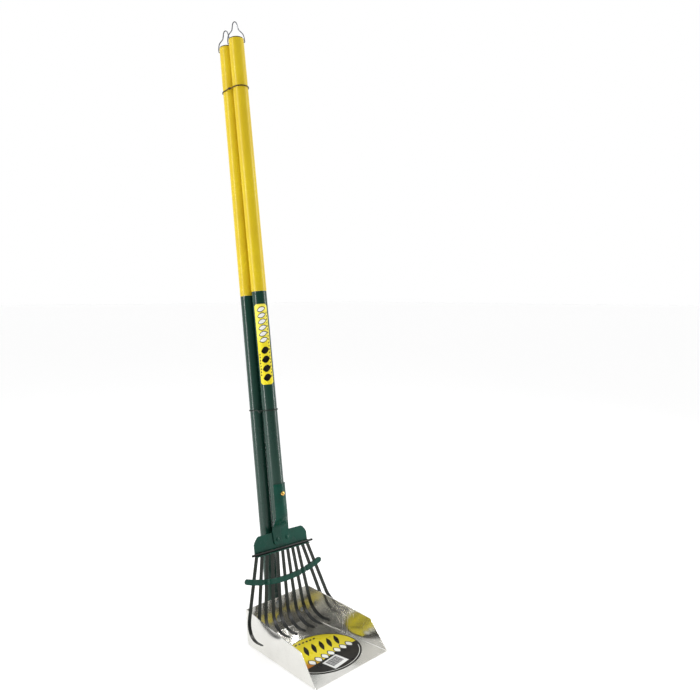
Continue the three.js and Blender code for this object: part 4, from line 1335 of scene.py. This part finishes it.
    def socket(self, shop: Workshop) -> None:
        """The half shell on the handle that opens out into a flat tang, with a bead down each edge."""
        tang = self.place.inverted() @ self.head
        columns, radius, rows = 28, self.socket_radius, self.socket_rows()
        points = []
        for along, flat, height, narrow in rows:
            for column in range(columns + 1):
                angle = -self.socket_half + 2 * self.socket_half * column / columns
                shell = Vector((radius * math.sin(angle), -radius * math.cos(angle), along))
                low = tang @ (Vector((radius * self.tang_spread * angle * narrow, -0.1, height)) * MM)
                points.append((shell * MM).lerp(low, flat))
        for side, column in (("left", 0), ("right", columns)):
            edge = [points[row * (columns + 1) + column] for row in range(1, len(rows) - 7)]
            bead = shop.wire(f"rake_socket_bead_{side}", edge, shop.finish.enamel, self.bead_radius,
                             self.bead_radius)
            shop.hand_over(bead, Body.RAKE, (), None, self.place, 60.0)
        made = sheet(object_from("rake_socket_strap", points, strips(len(rows), columns + 1)),
                     self.socket_thickness * MM, 0.3 * MM)
        shop.hand_over(made, Body.RAKE, ["rake_socket"], shop.finish.enamel,
                       self.place, 34.0)

    def studs(self, shop: Workshop) -> None:
        """The painted rivets of the head plate and the brace."""
        rear = self.tine_thickness / 2 + self.gap
        pairs: list[tuple[str, Thing, list[Mark], str]] = []
        for side, (x, z) in zip(("left", "right"), self.head_rivets):
            front = Mark((x * MM, (-0.1 - self.socket_thickness / 2) * MM, z * MM), FORWARD)
            tail = Mark((x * MM, (rear + self.plate_thickness) * MM, z * MM), BACK, (0.86, 0.86, 0.8))
            pairs.append((f"head_stud_{side}", stud(3.0, 1.3), [front, tail], f"head_rivet_{side}"))
        for side, index in zip(("left", "right"), self.riveted):
            x, z = self.brace_point(index)
            reach = (rear + self.brace_thickness + 0.5) * MM
            ends = [Mark((x * MM, -reach, z * MM), FORWARD), Mark((x * MM, reach, z * MM), BACK)]
            pairs.append((f"brace_stud_{side}", stud(2.2, 0.95), ends, f"brace_rivet_{side}"))
        for name, dome, marks, node in pairs:
            shop.repeat(name, dome, marks, shop.finish.enamel, Body.RAKE, [node],
                        self.head)

    def screw(self, shop: Workshop) -> None:
        """The brass-plated screw through the socket, with a cross recess."""
        made = turned("socket_brass_screw", [(0, -3.0), (1.5, -3.0), (1.5, 0), (3.2, 0), (3.2, 0.35),
                                             (2.9, 1.0), (2.1, 1.6), (1.0, 1.85), (0, 1.9)], 0.15, 48)
        for turn in (0.0, QUARTER):
            slot = block("slot", (4.2 * MM, 0.75 * MM, 3.0 * MM))
            slot.data.transform(Matrix.Translation((0, 0, 1.15 * MM)) @ Matrix.Rotation(turn + 0.5, 4, "Z"))
            carve(made, slot)
        stand = -(self.socket_radius + self.socket_thickness / 2) * MM
        place = self.place @ Matrix.Translation((0, stand, self.screw_along * MM))
        shop.hand_over(made, Body.RAKE, ["socket_screw"], shop.finish.brass,
                       place @ Matrix.Rotation(QUARTER, 4, "X"))

    def rod(self, shop: Workshop) -> None:
        """The black cross rod with its rounded ends."""
        radius, half = self.rod_radius, self.rod_half
        made = turned("rake_cross_rod", [
            (0, -half), (radius * 0.6, -half + 0.1), (radius, -half + 0.6), (radius, 0.0),
            (radius, half - 0.6), (radius * 0.6, half - 0.1), (0, half)], 0.3, 40)
        y = -(self.tine_thickness / 2 + self.gap + radius)
        place = self.head @ Matrix.Translation((0, y * MM, -0.7 * MM)) @ Matrix.Rotation(QUARTER, 4, "Y")
        shop.hand_over(made, Body.RAKE, ["cross_rod"], shop.finish.rod, place)

    def wrapped_label(self, shop: Workshop) -> None:
        """The label round the handle's front, with rounded corners and a UV map in metres."""
        corner, columns, radius = self.label_corner, 40, self.label_radius + 0.14
        heights = [self.label_from + corner * (1 - math.cos(QUARTER * step / 8)) for step in range(9)]
        middle = [self.label_from + corner + (self.label_to - self.label_from - 2 * corner) * step / 20
                  for step in range(1, 20)]
        heights += middle + [self.label_from + self.label_to - height for height in reversed(heights)]
        points, places = [], []
        for height in heights:
            depth = min(height - self.label_from, self.label_to - height, corner)
            shy = corner - math.sqrt(max(0.0, corner**2 - (corner - depth) ** 2))
            half = self.label_half - shy / self.label_radius
            for column in range(columns + 1):
                angle = -half + 2 * half * column / columns
                turned_by = angle + self.label_turn
                points.append(Vector((radius * math.sin(turned_by), -radius * math.cos(turned_by),
                                      height)) * MM)
                places.append((angle * radius * MM, (height - self.label_from) * MM))
        made = object_from("handle_wrap_label", points, strips(len(heights), columns + 1))
        layer = made.data.uv_layers.new(name="surface")
        for loop in made.data.loops:
            layer.data[loop.index].uv = places[loop.vertex_index]
        wall = made.modifiers.new("film", "SOLIDIFY")
        wall.thickness, wall.offset = 0.22 * MM, 0.0
        shop.hand_over(solved(made), Body.RAKE, ["handle_label"], shop.finish.wrap, self.place)

    def build(self, shop: Workshop) -> None:
        """Builds and dresses the rake's head and label."""
        self.tines(shop)
        self.brace(shop, "front", -1)
        self.brace(shop, "back", 1)
        for build in (self.socket, self.studs, self.screw, self.rod):
            build(shop)
        plate = refined("rake_head_plate", "head_plate", 0.3 * MM)
        shop.hand_over(plate, Body.RAKE, ["head_plate"], shop.finish.enamel)
        self.wrapped_label(shop)


# ------------------------------------------------------------------------ ties
@dataclass
class Tie:
    """A coated wire tie round both handles, its ends twisted together. Sizes in millimetres."""

    name: str
    node: str
    along: float
    tube_radius: float
    slot: Slot
    half_width: float = 0.85
    half_thickness: float = 0.58
    clear: float = 0.9
    turns: float = 2.0
    spread: float = 0.72

    def path(self, pan: Matrix, rake: Matrix) -> list[Vector]:
        """The wire's path in the pan handle's frame, from one twisted end round to the other."""
        across = pan.inverted() @ rake
        start, up = across.translation / MM, (across.to_3x3() @ Vector((0, 0, 1))).normalized()
        centre = start + up * ((self.along - start.z) / up.z) - Vector((0, 0, self.along))
        heading = Vector((centre.x, centre.y, 0)).normalized()
        left = Vector((heading.y, -heading.x, 0))
        radius = self.tube_radius + self.clear
        middle = centre * 0.5 + left * radius

        def twist(share: float, phase: float) -> Vector:
            """A point on one of the two twisted ends."""
            turn = phase + share * math.tau * self.turns
            aside = 1.5 + 1.8 * share + self.spread * math.cos(turn)
            return (middle + heading * (1.2 + 6.5 * share) + left * aside
                    + Vector((0, 0, -2.2 * share + self.spread * math.sin(turn))))

        def arc(about: Vector, first: float, last: float) -> list[Vector]:
            """Points round one handle."""
            steps = 18
            angles = [first + (last - first) * step / steps for step in range(steps + 1)]
            return [about + left * radius * math.cos(w) + heading * radius * math.sin(w) for w in angles]

        up_z = Vector((0, 0, 1))
        points = [twist(1 - step / 24, QUARTER) for step in range(25)]
        points.append(middle - heading * 1.6 + left * 0.2 + up_z * 1.0)
        points.append(middle - heading * 4.5 + up_z * 0.4)
        points += arc(Vector((0, 0, 0)), 0, -math.pi) + arc(centre, math.pi, 0)
        points.append(middle + heading * 5.0 - up_z * 0.3)
        points.append(middle + heading * 1.6 + left * 0.2 - up_z * 0.8)
        points += [twist(step / 24, -QUARTER) for step in range(25)]
        return [(point + up_z * self.along) * MM for point in points]

    def build(self, shop: Workshop, pan: Matrix, rake: Matrix) -> None:
        """Builds and dresses the tie."""
        finish = shop.finish.brown_tie if self.slot is Slot.BROWN_TIE else shop.finish.green_tie
        made = shop.wire(self.name, self.path(pan, rake), finish, self.half_width, self.half_thickness)
        shop.hand_over(made, Body.PAN, [self.node], None, pan, 60.0)


# ---------------------------------------------------------------------- studio
@dataclass(frozen=True)
class Softbox:
    """An area light: where it stands, what it faces, its size and its power."""

    name: str
    at: Point
    size: Pair
    power: float
    aim: Point = (0.0, 0.08, 0.42)

    def build(self) -> None:
        """Makes the light."""
        light = bpy.data.lights.new(self.name, "AREA")
        light.shape, light.energy = "RECTANGLE", self.power
        light.size, light.size_y = self.size
        made = bpy.data.objects.new(self.name, light)
        made.location = self.at
        made.rotation_euler = (Vector(self.aim) - Vector(self.at)).to_track_quat("-Z", "Y").to_euler()
        bpy.context.scene.collection.objects.link(made)


@dataclass
class Studio:
    """The camera, the pale floor, the lights and the surroundings."""

    camera_at: Point = (-0.6441, -0.7077, 0.5120)
    camera_pitch: float = QUARTER - 0.082
    camera_turn: float = -0.791
    lens: float = 35.44
    floor_half: float = 30.0
    floor_grey: float = 0.93
    floor_glow: float = 0.16
    dark_side: Point = (-0.66, -0.74, 0.1)
    side_levels: Pair = (0.82, 0.12)
    zenith_level: float = 0.5
    lights: tuple[Softbox, ...] = (
        Softbox("left_strip", (-1.5, 0.5, 0.8), (0.14, 1.6), 17.0),
        Softbox("right_strip", (1.3, -0.9, 0.8), (0.1, 1.6), 14.0),
    )

    def camera(self) -> None:
        """Stands the camera at the chosen viewing angle."""
        data = bpy.data.cameras.new("camera")
        data.lens, data.sensor_width = self.lens, 36.0
        made = bpy.data.objects.new("camera", data)
        made.location = self.camera_at
        made.rotation_euler = (self.camera_pitch, 0.0, self.camera_turn)
        bpy.context.scene.collection.objects.link(made)
        bpy.context.scene.camera = made

    def floor(self) -> None:
        """Lays a wide, plain, pale floor just under the pan."""
        half, grey = self.floor_half, self.floor_grey
        made = object_from("floor", [Vector((x * half, y * half, -0.1 * MM)) for x, y in
                                     ((-1, -1), (1, -1), (1, 1), (-1, 1))], [(0, 1, 2, 3)])
        material = bpy.data.materials.new("pale_floor")
        material.use_nodes = True
        shader = material.node_tree.nodes["Principled BSDF"]
        for label, value in {"Base Color": (grey, grey, grey, 1.0), "Roughness": 0.6,
                             "Emission Color": (1.0, 1.0, 1.0, 1.0),
                             "Emission Strength": self.floor_glow}.items():
            shader.inputs[label].default_value = value
        made.data.materials.append(material)

    def surroundings(self) -> None:
        """A white studio, dimmer where the camera stands. The camera itself sees plain white."""
        world = bpy.data.worlds.new("studio")
        world.use_nodes = True
        world.node_tree.nodes.clear()
        graph = Graph(world.node_tree)
        way = graph.add("ShaderNodeTexCoord").outputs["Generated"]
        facing = graph.vector("DOT_PRODUCT", way, self.dark_side, output=1)
        around = graph.span(facing, -0.15, 0.75, *self.side_levels, smooth=True)
        overhead = graph.span(graph.split(way)["Z"], 0.35, 0.9, 0.0, self.zenith_level, smooth=True)
        seen = graph.add("ShaderNodeLightPath").outputs["Is Camera Ray"]
        strength = graph.math("MAXIMUM", graph.plus(around, overhead), seen)
        background = graph.add("ShaderNodeBackground",
                               {"Color": (1.0, 1.0, 1.0, 1.0), "Strength": strength})
        graph.add("ShaderNodeOutputWorld", {"Surface": background.outputs["Background"]})
        bpy.context.scene.world = world

    def build(self) -> None:
        """Sets the whole studio."""
        self.camera()
        self.floor()
        self.surroundings()
        for light in self.lights:
            light.build()
        bpy.context.scene.view_settings.view_transform = "Standard"


def main() -> None:
    """Builds the studio and then the set, sub-assembly by sub-assembly."""
    logging.basicConfig(level=logging.INFO, format="%(name)s %(message)s")
    Studio().build()
    shop = Workshop()
    pan_hinge = Vector(joint("pan_hanger_swing")["axis"])
    pan_axis = pan_hinge.cross(Vector((1.0, 0.0, 0.0))).normalized()
    rake_axis = Vector(joint("rake_slide")["axis"]).normalized()
    pan_handle = Handle("pan", Body.PAN, Body.PAN_HANGER, pan_axis, 8.0, 511.0, 892.5)
    rake_handle = Handle("rake", Body.RAKE, Body.RAKE_HANGER, rake_axis, 159.0, 518.5, 900.5, 188.0)
    for handle in (pan_handle, rake_handle):
        handle.build(shop)
    Pan(pan_handle.place).build(shop)
    RakeHead(rake_handle.place).build(shop)
    for tie in (Tie("upper_wire_tie", "upper_tie", 824.0, 11.4, Slot.BROWN_TIE),
                Tie("lower_wire_tie", "lower_tie", 336.0, 11.1, Slot.GREEN_TIE)):
        tie.build(shop, pan_handle.place, rake_handle.place)


if __name__ == "__main__":
    main()
